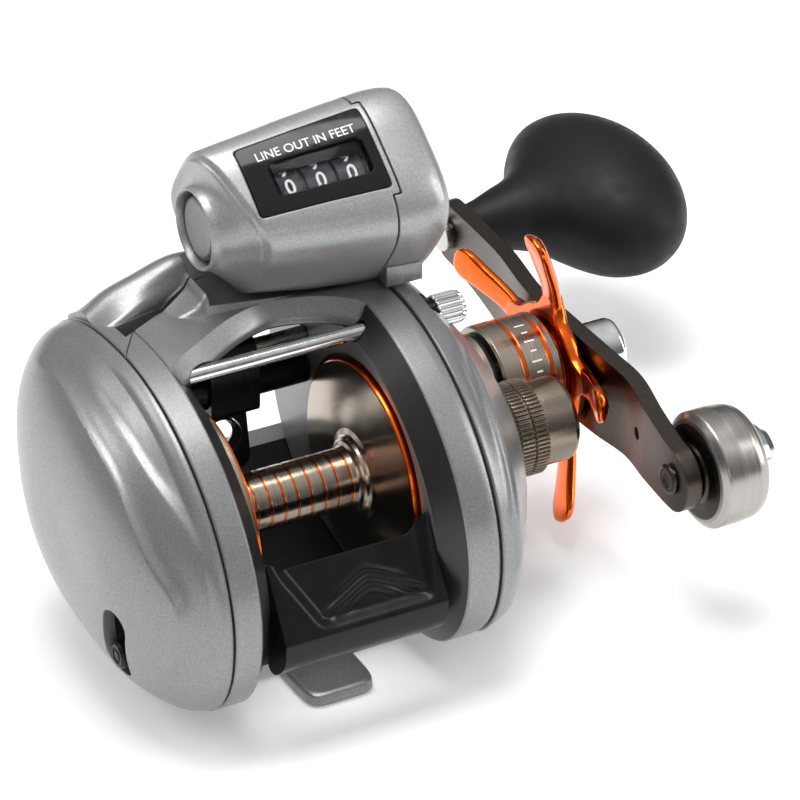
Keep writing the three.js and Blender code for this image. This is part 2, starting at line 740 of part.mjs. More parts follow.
// The handle arm: a flat bar, wide at the hub, bent in a shallow wave along its length.
function handleArm() {
  const middle = new THREE.CatmullRomCurve3([
    [64, 76.4], [50, 76], [32, 74.2], [14, 70.8], [0, 70.4], [-14, 70.8], [-25, 71.4], [-36, 69.4],
    [-47, 67.8], [-56, 67.4],
  ].map(([y, x]) => new THREE.Vector3(y, x, 0)));
  const points = middle.getSpacedPoints(18);
  const half = 1.7;
  const edge = (side) => points.map((point, k) => {
    const run = middle.getTangentAt(k / 18);
    return new THREE.Vector2(point.y - side * half * run.x, point.x + side * half * run.y);
  });
  const ribbon = upright(new THREE.Shape([...edge(1), ...edge(-1).reverse()]), -15, 15);
  const face = new THREE.Shape();
  face.absarc(KNOB_REACH, 0, 6.6, -Math.PI / 2, Math.PI / 2);
  face.bezierCurveTo(40, 6.8, 24, 9.6, 0, 9.6);
  face.bezierCurveTo(-22, 9.6, -34, 7.4, WEIGHT_REACH, 6.6);
  face.absarc(WEIGHT_REACH, 0, 6.6, Math.PI / 2, 1.5 * Math.PI);
  face.bezierCurveTo(-34, -7.4, -22, -9.6, 0, -9.6);
  face.bezierCurveTo(24, -9.6, 40, -6.8, KNOB_REACH, -6.6);
  const bar = common(ribbon, across(face, 58, 84));
  const holes = [[0, 3.1], [KNOB_REACH, 2.5], [WEIGHT_REACH, 2.3], [27, 1.3], [-31, 1.3]];
  return cut(bar, ...holes.map(([y, radius]) => at(rod(55, 90, radius, 20), [y, 0])));
}

// An oval grip, longest along Y, on a round neck. Each section has its x, half width and half height.
function handleKnob() {
  const sections = [
    [78.3, 4.6, 4.6], [82, 5.2, 5.2], [86.4, 6.7, 6.5], [90, 8, 7.4], [92.5, 9.8, 8.2],
    [95, 13, 9.2], [97.5, 17.2, 10.6], [101, 21.8, 12.5], [105, 24.9, 14.1],
    [109.9, KNOB_HALF_WIDTH, KNOB_HALF_HEIGHT], [114.8, 24.8, 14], [119.5, 21.1, 11.9],
    [123, 15.6, 8.8], [125.2, 9.6, 5.4], [126.1, 5, 2.8], [126.3, 1, 0.6],
  ];
  const points = 28;
  const rings = sections.map(([x, wide, tall]) => Array.from({ length: points }, (_, k) => {
    const angle = (2 * Math.PI * k) / points;
    return new THREE.Vector3(x, wide * Math.cos(angle), tall * Math.sin(angle));
  }));
  return cut(lofted(rings), rod(76, 104, 2.5));
}

function counterweight() {
  return turned([
    [70.2, 2.5], [70.2, 5.4], [70.9, 6], [71.2, 10.6], [72.4, WEIGHT_RADIUS], [76, WEIGHT_RADIUS],
    [79.5, 11.4], [81.4, 10.6], [82.4, 8.6], [82.4, 2.5], [70.2, 2.5],
  ], 28);
}

function weightBolt() {
  return turned([
    [65, 0], [65, 2.9], [65.6, 3.4], [65.6, 2], [82.7, 2], [82.7, 6.8], [84.5, 6.5], [86.4, 5.5],
    [87.7, 3.8], [88.2, 2], [88.3, 0],
  ], 24);
}

function handleNut() {
  return turned([
    [72.6, 3.1], [72.6, 6.6], [74, 6.6], [74, 6], [80.6, 6], [81.8, 5], [82, 0], [79.6, 0],
    [79.6, 3.1], [72.6, 3.1],
  ], 28);
}

function knobSpindle() {
  return turned([[72.6, 0], [72.6, 3.6], [74, 3.6], [74, 2.2], [102, 2.2], [102, 0]], 20);
}

// A dished spring washer that starts at x.
function springWasher(x) {
  return turned([
    [x, DRIVE_BORE], [x + 0.9, 6.8], [x + 1.4, 6.8], [x + 0.5, DRIVE_BORE], [x, DRIVE_BORE],
  ]);
}

function coverScrew() {
  const profile = [
    [-20, 0], [-20, 1.5], [32.3, 1.5], [32.3, 2.6], [33.9, 2.6], [33.9, 3.2], [39.2, 3.2],
    [40, 2.6], [40, 0],
  ];
  return turned(profile, 24);
}

// ---------------------------------------------------------------- pieces
part('main_frame', mainFrame(), paint);
part('reel_foot', reelFoot(), darkPaint);
['rear', 'front'].forEach((side, k) => part(`foot_screw_${side}`, footScrew(FOOT_SCREW_Y[k]), steel));
part('left_side_cover', leftSideCover(), paint);
part('right_side_cover', rightSideCover(), paint);
part('thumb_bar', thumbBar(), blackPlastic);
part('cover_thumb_screw', at(coverScrew(), COVER_SCREW_AXIS), chrome);

part('spool', spoolBody(), champagne);
part('spool_shaft', rod(-25.5, 54.2, SPOOL_SHAFT_RADIUS, 20), steel);
part('left_spool_bearing', tube(-26, -23.2, BEARING_RADIUS, 1.8), steel);
part('right_spool_bearing', tube(18.4, 20.9, BEARING_RADIUS, 1.8), steel);
part('shaft_end_bearing', tube(43, 45.6, 4.5, 1.8, 28), steel);
part('cast_control_knob', castControlKnob(), bronze);
part('cast_spacer', rod(54.5, 55.4, 4, 20), brass);

part('pinion_gear', pinionGear(), brass);
part('clutch_yoke', clutchYoke(), steel);
[['lower', -9], ['upper', 9]].forEach(([side, z]) => {
  part(`yoke_spring_${side}`, at(coilSpring(26.3, 31.5, 1.5, 0.25, 4), [0, z]), steel);
});

part('drive_shaft', rod(21.3, 79.6, DRIVE_SHAFT_RADIUS), steel, drive);
part('worm_drive_gear', spurGear(WORM_DRIVE_TEETH, wormModule, 22.4, 25.6, DRIVE_BORE), brass, drive);
part('drive_gear', spurGear(DRIVE_TEETH, mainModule, 28.4, 31.4, DRIVE_BORE), brass, drive);
part('drag_washer', tube(31.7, 32.7, 11.5, DRIVE_BORE), carbon, drive);
part('drag_pressure_plate', tube(33, 34.2, 11.5, DRIVE_BORE), steel, drive);
part('drag_spring_washer', springWasher(34.5), steel, drive);
part('anti_reverse_sleeve', tube(36.3, 53.6, 4.7, DRIVE_BORE), steel, drive);
part('anti_reverse_bearing', tube(40, 47.6, 8, 5), steel, drive);
part('drive_boss_ring', tube(49, 52.4, 10.1, 9.6), champagne, drive);

part('star_drag', starDrag(), orange, handleSide);
part('handle_arm', handleArm(), bronze, handleSide);
part('handle_nut', handleNut(), chrome, handleSide);
part('knob_spindle', at(knobSpindle(), [KNOB_REACH, 0]), steel, handleSide);
part('handle_knob', at(handleKnob(), [KNOB_REACH, 0]), blackRubber, handleSide);
part('counterweight', at(counterweight(), [WEIGHT_REACH, 0]), steel, handleSide);
part('counterweight_bolt', at(weightBolt(), [WEIGHT_REACH, 0]), chrome, handleSide);

part('worm_shaft', rod(-19.8, 26.6, 2.1, 20), steel, worm);
part('worm_tube', wormTube(), blackPlastic, worm);
const wormPhase = meshingPhase([0, 0], wormOffset, WORM_DRIVE_TEETH, WORM_TEETH);
part('worm_gear', spurGear(WORM_TEETH, wormModule, 22.4, 25.6, 2.4, wormPhase), brass, worm);
part('guide_rod', at(rod(-19.7, 20, 1.5), GUIDE_ROD_AXIS), steel);
part('line_guide', lineGuide(), blackPlastic);
part('line_guide_eye', lineEye(), ceramic);

part('counter_housing', counterHousing(), paint);
part('counter_end_cap', counterEndCap(), paint);
part('counter_bezel', counterBezel(), blackPlastic);
part('counter_lens', counterLens(), lens);
part('counter_axle', at(rod(-2, 34, 1.1, 16), WHEEL_CENTRE), steel);
['hundreds', 'tens', 'units'].forEach((place, k) => {
  part(`digit_wheel_${place}`, at(digitWheel(WHEEL_X[k]), WHEEL_CENTRE), white);
});
part('counter_reset_button', at(turned([[-7.4, 0], [-7.4, 6.2], [-7, 6.7], [-4.2, 6.7], [-4.2, 0]], 28),
  COUNTER_AXIS), darkPaint);
part('counter_pedestal', cut(block(26.4, 34, 9, 18, 33, 40), counterClearance()), paint);

part('clicker_knob', at(rod(-42, -35, 2.2), CLICKER_AXIS), blackPlastic);

const trollingReel = new THREE.Group();
trollingReel.add(reel);

export default trollingReel;
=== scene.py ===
"""A low-profile trolling reel with a line counter: its looks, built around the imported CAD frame.

Points are in millimetres from the spool's axis, as [x, y, z], until make() turns them into metres in
the row frame.
"""
import itertools
import math

import bmesh
import bpy
import numpy as np
from mathutils import Matrix, Vector


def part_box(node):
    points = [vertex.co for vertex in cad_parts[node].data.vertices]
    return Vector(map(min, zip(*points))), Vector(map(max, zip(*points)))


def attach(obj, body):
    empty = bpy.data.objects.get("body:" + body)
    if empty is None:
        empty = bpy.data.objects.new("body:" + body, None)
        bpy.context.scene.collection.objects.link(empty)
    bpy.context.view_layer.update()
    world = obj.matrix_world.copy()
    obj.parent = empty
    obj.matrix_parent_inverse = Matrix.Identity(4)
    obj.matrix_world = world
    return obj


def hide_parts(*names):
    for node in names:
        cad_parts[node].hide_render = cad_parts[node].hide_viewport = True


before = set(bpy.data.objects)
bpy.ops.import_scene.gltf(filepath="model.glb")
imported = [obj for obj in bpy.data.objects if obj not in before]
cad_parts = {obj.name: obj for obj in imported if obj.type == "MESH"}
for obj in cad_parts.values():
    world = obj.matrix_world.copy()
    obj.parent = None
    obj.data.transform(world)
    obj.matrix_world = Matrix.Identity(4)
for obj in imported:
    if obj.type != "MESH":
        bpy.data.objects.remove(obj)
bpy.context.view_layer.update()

MM = 0.001
SHARP_ANGLE = math.radians(34)


# ---------------------------------------------------------------- places taken from the frame
def box_mm(node):
    """The node's lowest and highest corner, in millimetres in the row frame."""
    low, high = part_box(node)
    return np.array(low) / MM, np.array(high) / MM


def middle(node):
    low, high = box_mm(node)
    return (low + high) / 2


ORIGIN = np.array([0.0, *middle("spool_shaft")[1:]])  # the spool's axis at the reel's middle plane


def axis_of(node):
    """Where a turned node's axis lies, as [y, z] from the spool's axis."""
    return (middle(node) - ORIGIN)[1:]


SPOOL_AXIS = np.zeros(2)
DRIVE_AXIS = axis_of("drive_shaft")
KNOB_AXIS = axis_of("knob_spindle")
WEIGHT_AXIS = axis_of("counterweight_bolt")
COUNTER_AXIS = axis_of("counter_reset_button")
WHEEL_AXIS = axis_of("digit_wheel_units")
SCREW_AXIS = axis_of("cover_thumb_screw")
WORM_AXIS = axis_of("worm_shaft")
ROD_AXIS = axis_of("guide_rod")
CLICKER_AXIS = axis_of("clicker_knob")
HANDLE_X = box_mm("handle_nut")[0][0] - 72.6  # how far out the handle side sits from where it is drawn


# ---------------------------------------------------------------- meshes
def make(name, points, faces, materials, face_slots=None):
    """A mesh object from points in millimetres, with its faces turned outwards."""
    mesh = bpy.data.meshes.new(name)
    placed = (np.asarray(points, float) + ORIGIN) * MM
    mesh.from_pydata(placed.tolist(), [], [list(face) for face in faces])
    for material in materials:
        mesh.materials.append(material)
    if face_slots is not None:
        mesh.polygons.foreach_set("material_index", face_slots)
    body = bmesh.new()
    body.from_mesh(mesh)
    bmesh.ops.remove_doubles(body, verts=body.verts, dist=1e-7)
    bmesh.ops.recalc_face_normals(body, faces=body.faces)
    body.to_mesh(mesh)
    body.free()
    piece = bpy.data.objects.new(name, mesh)
    bpy.context.scene.collection.objects.link(piece)
    smooth(piece)
    return piece


def smooth(piece, angle=SHARP_ANGLE):
    piece.data.shade_smooth()
    piece.data.set_sharp_from_angle(angle=angle)


def bake(piece):
    """Applies the piece's modifiers to its mesh."""
    bpy.context.view_layer.update()
    graph = bpy.context.evaluated_depsgraph_get()
    mesh = bpy.data.meshes.new_from_object(piece.evaluated_get(graph))
    piece.modifiers.clear()
    piece.data = mesh
    smooth(piece)
    return piece


def combine(first, others, operation):
    for tool in others:
        step = first.modifiers.new("combine", "BOOLEAN")
        step.operation = operation
        step.solver = "MANIFOLD"
        step.object = tool
    bake(first)
    for tool in others:
        bpy.data.objects.remove(tool)
    return first


def cut(first, *tools):
    return combine(first, tools, "DIFFERENCE")


def join(first, *others):
    return combine(first, others, "UNION")


def common(first, *others):
    return combine(first, others, "INTERSECT")


def merge(name, *parts):
    """One object that holds several closed bodies, with their materials kept."""
    with bpy.context.temp_override(
        active_object=parts[0], object=parts[0],
        selected_objects=list(parts), selected_editable_objects=list(parts),
    ):
        bpy.ops.object.join()
    parts[0].name = name
    return parts[0]


def fillet(path, size, steps=3, closed=False):
    """Rounds the corners of a path of 2-D points."""
    points = [np.array(p, float) for p in path]
    count = len(points)
    rounded = []
    for k, corner in enumerate(points):
        if not closed and k in (0, count - 1):
            rounded.append(corner)
            continue
        before, after = points[k - 1], points[(k + 1) % count]
        ends = []
        for other in (before, after):
            length = np.linalg.norm(other - corner)
            ends.append(corner + (other - corner) * min(size / max(length, 1e-9), 0.42))
        for t in np.linspace(0, 1, steps + 1):
            rounded.append((1 - t) ** 2 * ends[0] + 2 * t * (1 - t) * corner + t ** 2 * ends[1])
    return rounded


def bezier(points, steps):
    """Samples a cubic Bezier curve, without its last point."""
    a, b, c, d = (np.array(p, float) for p in points)
    t = np.arange(steps)[:, None] / steps
    return (1 - t) ** 3 * a + 3 * t * (1 - t) ** 2 * b + 3 * t ** 2 * (1 - t) * c + t ** 3 * d


def spline(points, steps):
    """A Catmull-Rom curve through points."""
    p = np.array(points, float)
    p = np.vstack([2 * p[0] - p[1], p, 2 * p[-1] - p[-2]])
    out = []
    for k in range(1, len(p) - 2):
        for t in np.arange(steps) / steps:
            out.append(0.5 * (
                2 * p[k] + (p[k + 1] - p[k - 1]) * t
                + (2 * p[k - 1] - 5 * p[k] + 4 * p[k + 1] - p[k + 2]) * t ** 2
                + (3 * p[k] - p[k - 1] - 3 * p[k + 1] + p[k + 2]) * t ** 3
            ))
    out.append(p[-2])
    return np.array(out)


def skin(name, rings, materials, slot_of=None, ring_closed=False):
    """Skins rings of points. A ring of one point is a pole, and open ends are closed with one face each."""
    points, starts = [], []
    for ring in rings:
        starts.append(len(points))
        points.extend(ring)
    faces, slots = [], []
    pairs = list(zip(range(len(rings) - 1), range(1, len(rings))))
    if ring_closed:
        pairs.append((len(rings) - 1, 0))
    for a, b in pairs:
        na, nb = len(rings[a]), len(rings[b])
        slot = slot_of(np.mean(np.vstack([rings[a], rings[b]]), 0), a) if slot_of else 0
        for k in range(max(na, nb)):
            ring_a = [starts[a] + k % na, starts[a] + (k + 1) % na] if na > 1 else [starts[a]]
            ring_b = [starts[b] + (k + 1) % nb, starts[b] + k % nb] if nb > 1 else [starts[b]]
            faces.append(ring_a + ring_b)
            slots.append(slot)
    if not ring_closed:
        for k in (0, len(rings) - 1):
            if len(rings[k]) > 1:
                faces.append(list(range(starts[k], starts[k] + len(rings[k]))))
                slots.append(0)
    return make(name, points, faces, materials, slots)


def lathe(name, profile, axis, materials, segments=96, slot_of=None, wave=None, closed=False, corner=0.15):
    """Turns a profile of [x, radius] pairs about an axis along X. wave(x, radius, angle) is added to it."""
    rings = []
    for x, radius in fillet(profile, corner, closed=closed):
        if radius < 1e-6:
            rings.append([np.array([x, *axis])])
            continue
        ring = []
        for k in range(segments):
            angle = 2 * math.pi * k / segments
            r = radius + (wave(x, radius, angle) if wave else 0)
            ring.append(np.array([x, axis[0] + r * math.cos(angle), axis[1] + r * math.sin(angle)]))
        rings.append(ring)
    choose = (lambda centre, k: slot_of(centre[0], radius_of(rings[k], axis))) if slot_of else None
    return skin(name, rings, materials, choose, closed)


def radius_of(ring, axis):
    return float(np.linalg.norm(ring[0][1:] - np.asarray(axis)))


def rod(x0, x1, radius, axis, segments=64):
    return lathe("rod", [(x0, 0), (x0, radius), (x1, radius), (x1, 0)], axis, [], segments, corner=0)


def prism(points, direction, low, high, materials=()):
    """Extrudes a 2-D outline along 'x', 'y' or 'z'. Its pairs are the other two directions, in order."""
    place = {"x": lambda a, b, c: (c, a, b), "y": lambda a, b, c: (a, c, b), "z": lambda a, b, c: (a, b, c)}
    rings = [[np.array(place[direction](a, b, c)) for a, b in points] for c in (low, high)]
    return skin("prism", rings, list(materials))


def slab(x0, x1, y0, y1, z0, z1):
    return prism([(x0, y0), (x1, y0), (x1, y1), (x0, y1)], "z", z0, z1)


def place(piece, body, slot, *nodes):
    """Puts a finished piece on its body, and hides the CAD nodes that it stands for."""
    piece.modifiers.new("flat faces stay flat", "WEIGHTED_NORMAL").keep_sharp = True
    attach(piece, body)
    if nodes:
        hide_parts(*nodes)
    return piece


# ---------------------------------------------------------------- node materials
class Look:
    """A node material under construction, in the object's own coordinates."""

    def __init__(self, name, colour, metallic, roughness, **sockets):
        self.material = bpy.data.materials.new(name)
        self.material.use_nodes = True
        self.tree = self.material.node_tree
        self.shader = self.tree.nodes["Principled BSDF"]
        self.colour = (*colour, 1)
        self.set("Base Color", self.colour)
        self.set("Metallic", metallic)
        self.set("Roughness", roughness)
        for socket, value in sockets.items():
            self.set(socket.replace("_", " "), value)
        self.place = self.node("ShaderNodeTexCoord").outputs["Object"]

    def set(self, socket, value):
        self.shader.inputs[socket].default_value = value

    def node(self, kind, inputs=None, **settings):
        made = self.tree.nodes.new(kind)
        for key, value in settings.items():
            setattr(made, key, value)
        for key, value in (inputs or {}).items():
            if isinstance(value, bpy.types.NodeSocket):
                self.tree.links.new(value, made.inputs[key])
            else:
                made.inputs[key].default_value = value
        return made

    def noise(self, size, detail=2.0, stretch=None, place=None):
        """Noise whose grains are about size millimetres across."""
        where = place or self.place
        if stretch:
            where = self.node("ShaderNodeVectorMath", {0: where, 1: stretch}, operation="MULTIPLY").outputs[0]
        grain = self.node("ShaderNodeTexNoise", {"Vector": where, "Scale": 1 / (size * MM), "Detail": detail})
        return grain.outputs["Fac"]

    def cells(self, size):
        cell = self.node("ShaderNodeTexVoronoi", {"Vector": self.place, "Scale": 1 / (size * MM)})
        return cell.outputs["Color"]

    def ramp(self, factor, low, high, start=0.3, end=0.7):
        """Maps a factor from start..end to values or colours from low to high."""
        if isinstance(low, tuple):
            mix = self.node("ShaderNodeMix", data_type="RGBA")
            span = self.node("ShaderNodeMapRange", {"Value": factor, "From Min": start, "From Max": end})
            self.tree.links.new(span.outputs["Result"], mix.inputs[0])
            mix.inputs[6].default_value = (*low, 1)
            mix.inputs[7].default_value = (*high, 1)
            return mix.outputs[2]
        span = self.node("ShaderNodeMapRange", {
            "Value": factor, "From Min": start, "From Max": end, "To Min": low, "To Max": high,
        })
        return span.outputs["Result"]

    def link(self, output, socket):
        self.tree.links.new(output, self.shader.inputs[socket])

    def bump(self, height, depth, normal=None, strength=1.0):
        """Bump of a depth in millimetres."""
        inputs = {"Height": height, "Distance": depth * MM, "Strength": strength}
        if normal:
            inputs["Normal"] = normal
        return self.node("ShaderNodeBump", inputs).outputs["Normal"]

    def rounded(self, radius):
        """Softens sharp edges to a radius in millimetres."""
        return self.node("ShaderNodeBevel", {"Radius": radius * MM}, samples=4).outputs["Normal"]

    def turning(self, axis):
        """Coordinates that only change along X and away from an axis, as marks from a lathe do."""
        y, z = (np.asarray(axis) + ORIGIN[1:]) * MM
        moved = self.node("ShaderNodeVectorMath", {0: self.place, 1: (0, y, z)}, operation="SUBTRACT")
        split = self.node("ShaderNodeSeparateXYZ", {0: moved.outputs[0]})
        flat = self.node("ShaderNodeCombineXYZ", {"Y": split.outputs["Y"], "Z": split.outputs["Z"]})
        length = self.node("ShaderNodeVectorMath", {0: flat.outputs[0]}, operation="LENGTH")
        return self.node("ShaderNodeCombineXYZ", {
            "X": split.outputs["X"], "Y": length.outputs["Value"],
        }).outputs[0]


def shade(colour, share):
    return tuple(c * share for c in colour)


def metallic_paint(name, colour, roughness, edge=0.35):
    """Silver paint: fine metal flakes under a satin clear coat."""
    look = Look(name, colour, 0.55, roughness, Coat_Weight=0.25, Coat_Roughness=0.22)
    flakes = look.cells(0.16)
    speck = look.noise(0.3, detail=3)
    look.link(look.ramp(speck, shade(colour, 0.8), shade(colour, 1.22)), "Base Color")
    look.link(look.ramp(look.noise(0.5), roughness - 0.05, roughness + 0.07), "Roughness")
    grain = look.bump(flakes, 0.006, look.rounded(edge), 0.5)
    look.link(look.bump(speck, 0.01, grain, 0.35), "Normal")
    return look.material


def turned_metal(name, colour, roughness, axis, depth=0.004, edge=0.12):
    """Metal with fine rings left by the lathe."""
    look = Look(name, colour, 1.0, roughness, Anisotropic=0.35)
    rings = look.turning(axis)
    marks = look.noise(0.12, detail=3, place=rings)
    look.link(look.ramp(marks, shade(colour, 0.82), shade(colour, 1.15)), "Base Color")
    look.link(look.ramp(marks, roughness - 0.05, roughness + 0.08), "Roughness")
    look.link(look.bump(marks, depth, look.rounded(edge)), "Normal")
    return look.material


def anodised(name, colour, roughness, edge=0.15):
    """Dyed metal with a faint cloudiness and a hard gloss."""
    look = Look(name, colour, 1.0, roughness, Coat_Weight=0.3, Coat_Roughness=0.08)
    cloud = look.noise(2.5, detail=4)
    look.link(look.ramp(cloud, shade(colour, 0.86), shade(colour, 1.1)), "Base Color")
    look.link(look.ramp(look.noise(0.4), roughness - 0.03, roughness + 0.05), "Roughness")
    look.link(look.bump(look.noise(0.25, detail=3), 0.004, look.rounded(edge)), "Normal")
    return look.material


def brushed_metal(name, colour, roughness, stretch, edge=0.3):
    """Metal with fine lines along the direction in which stretch is smallest."""
    look = Look(name, colour, 1.0, roughness)
    lines = look.noise(0.16, detail=4, stretch=stretch)
    look.link(look.ramp(lines, shade(colour, 0.85), shade(colour, 1.12)), "Base Color")
    look.link(look.ramp(lines, roughness - 0.05, roughness + 0.08), "Roughness")
    look.link(look.bump(lines, 0.004, look.rounded(edge)), "Normal")
    return look.material


def plastic(name, colour, roughness, grain=0.25, depth=0.01, edge=0.25, specular=0.4):
    """Moulded plastic or rubber with a fine texture from its mould."""
    look = Look(name, colour, 0.0, roughness, Specular_IOR_Level=specular)
    speck = look.noise(grain, detail=3)
    look.link(look.ramp(speck, shade(colour, 0.85), shade(colour, 1.15)), "Base Color")
    look.link(look.ramp(look.noise(4), roughness - 0.06, roughness + 0.08), "Roughness")
    look.link(look.bump(speck, depth, look.rounded(edge), 0.6), "Normal")
    return look.material


def clear_lens(name):
    look = Look(name, (0.95, 0.96, 0.97), 0.0, 0.03, Transmission_Weight=1.0, IOR=1.16)
    look.link(look.bump(look.noise(6), 0.002), "Normal")
    return look.material


SILVER = (0.25, 0.253, 0.258)
PAINT = metallic_paint("silver_grey_paint", SILVER, 0.34)
COUNTER_PAINT = metallic_paint("counter_silver_paint", (0.36, 0.365, 0.37), 0.34, 0.5)
DARK_PAINT = metallic_paint("dark_grey_paint", (0.24, 0.24, 0.243), 0.36, 0.5)
BUTTON_PAINT = metallic_paint("button_grey_paint", (0.11, 0.11, 0.115), 0.36, 0.3)
# SHADED is painted shade: a near-black paint for the frame's inner walls, ring slopes and floor plate, where shade
# falls inside the reel.
SHADED = metallic_paint("frame_painted_shade", (0.028, 0.028, 0.029), 0.34)
BLACK = plastic("black_satin_plastic", (0.006, 0.006, 0.0063), 0.3, specular=0.22)
BLACK_GLOSS = plastic("black_gloss_plastic", (0.006, 0.006, 0.0065), 0.1, depth=0.002, specular=0.3)
GREY_PLASTIC = plastic("grey_wheel_plastic", (0.028, 0.028, 0.036), 0.45, specular=0.25)
RUBBER = plastic("black_rubber", (0.009, 0.009, 0.0088), 0.5, grain=0.35, depth=0.03, specular=0.2)
INK = plastic("white_ink", (0.85, 0.85, 0.83), 0.5, edge=0.02)
CHROME = anodised("chrome_plate", (0.78, 0.79, 0.80), 0.10)
STEEL = brushed_metal("steel", (0.55, 0.55, 0.54), 0.26, (0.05, 1, 1))
ORANGE = anodised("orange_anodised", (0.88, 0.13, 0.006), 0.16)
BRONZE = brushed_metal("bronze_anodised", (0.085, 0.070, 0.058), 0.30, (1, 0.05, 1), 0.45)
BRASS = brushed_metal("brass", (0.62, 0.45, 0.18), 0.3, (0.2, 1, 1))
CARBON = plastic("carbon_fibre", (0.02, 0.02, 0.02), 0.5, grain=0.6)
CERAMIC = plastic("black_ceramic", (0.02, 0.02, 0.023), 0.12, depth=0.001)
LENS = clear_lens("clear_lens")
WHEEL_SHADE = plastic("window_inside_plastic", (0.012, 0.012, 0.014), 0.35, specular=0.25)
SPOOL_METAL = turned_metal("spool_champagne", (0.44, 0.375, 0.305), 0.19, SPOOL_AXIS, depth=0.0008)
CAST_METAL = turned_metal("cast_knob_bronze", (0.26, 0.22, 0.175), 0.24, SPOOL_AXIS)
DRIVE_METAL = turned_metal("drive_champagne", (0.36, 0.31, 0.255), 0.24, DRIVE_AXIS)
WEIGHT_METAL = turned_metal("weight_steel", (0.40, 0.375, 0.355), 0.27, WEIGHT_AXIS, depth=0.0015)


# ---------------------------------------------------------------- the reel's side outline
OUTLINE_STEPS = 40
OUTLINE_CENTRE = np.array([3.0, 1.0])
low, high = (corner - ORIGIN for corner in box_mm("left_side_cover"))
BACK, FRONT, BOTTOM, TOP = low[1], high[1], low[2], high[2]


def outline_points():
    curves = (
        ((BACK, -5), (BACK, 14), (-14, TOP), (10, TOP)),
        ((10, TOP), (32, TOP), (FRONT, 26), (FRONT, 10)),
        ((FRONT, 10), (FRONT, -17), (26, BOTTOM), (-10, BOTTOM)),
        ((-10, BOTTOM), (-25, BOTTOM), (BACK, -20), (BACK, -5)),
    )
    return np.vstack([bezier(curve, OUTLINE_STEPS) for curve in curves])


OUTLINE = outline_points()
ALONG = np.roll(OUTLINE, -1, 0) - np.roll(OUTLINE, 1, 0)
INWARD = np.stack([ALONG[:, 1], -ALONG[:, 0]], 1) / np.linalg.norm(ALONG, axis=1)[:, None]


def outline_ring(x, inset=0.0, scale=1.0):
    """The outline at x, moved in by inset and then scaled about its centre."""
    flat = OUTLINE_CENTRE + scale * (OUTLINE + INWARD * inset - OUTLINE_CENTRE)
    return np.column_stack([np.full(len(flat), x), flat])


def outline_solid(levels, materials=(), slot_of=None):
    """A solid that follows the outline, from [x, inset] levels."""
    return skin("outline", [outline_ring(x, inset) for x, inset in levels], list(materials), slot_of)


# ---------------------------------------------------------------- side covers
def distance_to(points, line):
    """Signed distance of [y, z] points from a line: positive on the side away from the outline's centre."""
    best = np.full(len(points), 1e9)
    sign = np.ones(len(points))
    for a, b in zip(line[:-1], line[1:]):
        run = b - a
        share = np.clip(((points - a) @ run) / (run @ run), 0, 1)
        offset = points - (a + share[:, None] * run)
        length = np.linalg.norm(offset, axis=1)
        side = run[0] * (points[:, 1] - a[1]) - run[1] * (points[:, 0] - a[0])
        centre_side = run[0] * (OUTLINE_CENTRE[1] - a[1]) - run[1] * (OUTLINE_CENTRE[0] - a[0])
        nearer = length < best
        best[nearer] = length[nearer]
        sign[nearer] = np.where(side * centre_side < 0, 1, -1)[nearer]
    return best * sign


def flute(distance, depth, width):
    """A hollow that starts with a crease at distance 0, is deepest at width, and fades out beyond it."""
    t = np.maximum(distance, 0) / width
    return depth * t * np.exp(1 - t)


def smoothstep(value, start, end):
    t = np.clip((value - start) / (end - start), 0, 1)
    return t * t * (3 - 2 * t)


PLATE_CREASE = spline([(30, 24), (20, 26), (10, 26), (-3, 23), (-12, 18.5), (-22, 9.5), (-28, 3), (-29.5, -4),
                       (-27, -12.5), (-22, -18)], 8)
RIM_CREASE = spline([(14, 30), (-3, 27), (-16, 21.5), (-25, 15.5), (-31, 8), (-33.5, 2)], 10)
HANDLE_CREASE = spline([(-8, 25), (-23, 17), (-31, 6.5), (-33, -0.5), (-33.5, -9)], 12)


def carve_left(flat, scale):
    """How deep the left cover's surface sits below its plain dome."""
    edge = smoothstep(1 - scale, 0.004, 0.03)
    plate = flute(distance_to(flat, PLATE_CREASE), 1.25, 2.4)
    plate *= smoothstep(flat[:, 0], 34, 20) * smoothstep(flat[:, 1], -20, -11)
    rim = flute(distance_to(flat, RIM_CREASE), 1.1, 1.7)
    rim *= smoothstep(flat[:, 0], 16, 2) * smoothstep(flat[:, 1], -6, 3)
    return edge * np.minimum(plate + rim, 2.0)


def carve_right(flat, scale):
    edge = smoothstep(1 - scale, 0.004, 0.04)
    rim = flute(distance_to(flat, HANDLE_CREASE), 1.0, 1.6)
    return edge * rim * smoothstep(flat[:, 0], -4, -14) * smoothstep(flat[:, 1], -16, -4)


def dome_cover(name, levels, carve, wall=2.2, ring_steps=14):
    """A hollow cover over the outline, from [x, scale] levels that end at its flat middle."""
    side = np.sign(levels[0][0])
    path = spline(levels, ring_steps)
    outside = np.array([outline_ring(x, 0, scale) for x, scale in path])
    along = np.gradient(outside, axis=0)
    around = np.roll(outside, -1, 1) - np.roll(outside, 1, 1)
    normal = np.cross(along, around)
    normal /= np.linalg.norm(normal, axis=2)[..., None]
    outwards = outside - np.array([0, *OUTLINE_CENTRE])
    normal *= np.sign(np.sum(normal * outwards, axis=2))[..., None]
    for ring, ring_normal, (x, scale) in zip(outside, normal, path):
        ring -= ring_normal * carve(ring[:, 1:].copy(), scale)[:, None]
    inside = []
    for x, scale in levels[:-1]:
        depth = 0 if scale == 1 else wall
        inside.append(outline_ring(x - side * depth, wall, scale))
    middle_out = [np.array([levels[-1][0], *OUTLINE_CENTRE])]
    middle_in = [np.array([levels[-2][0] - side * wall, *OUTLINE_CENTRE])]
    lip = outline_ring(levels[0][0], 0.25)
    outside[0][:, 0] += side * 0.25
    return skin(name, [middle_in, *inside[::-1], lip, *outside, middle_out], [PAINT])


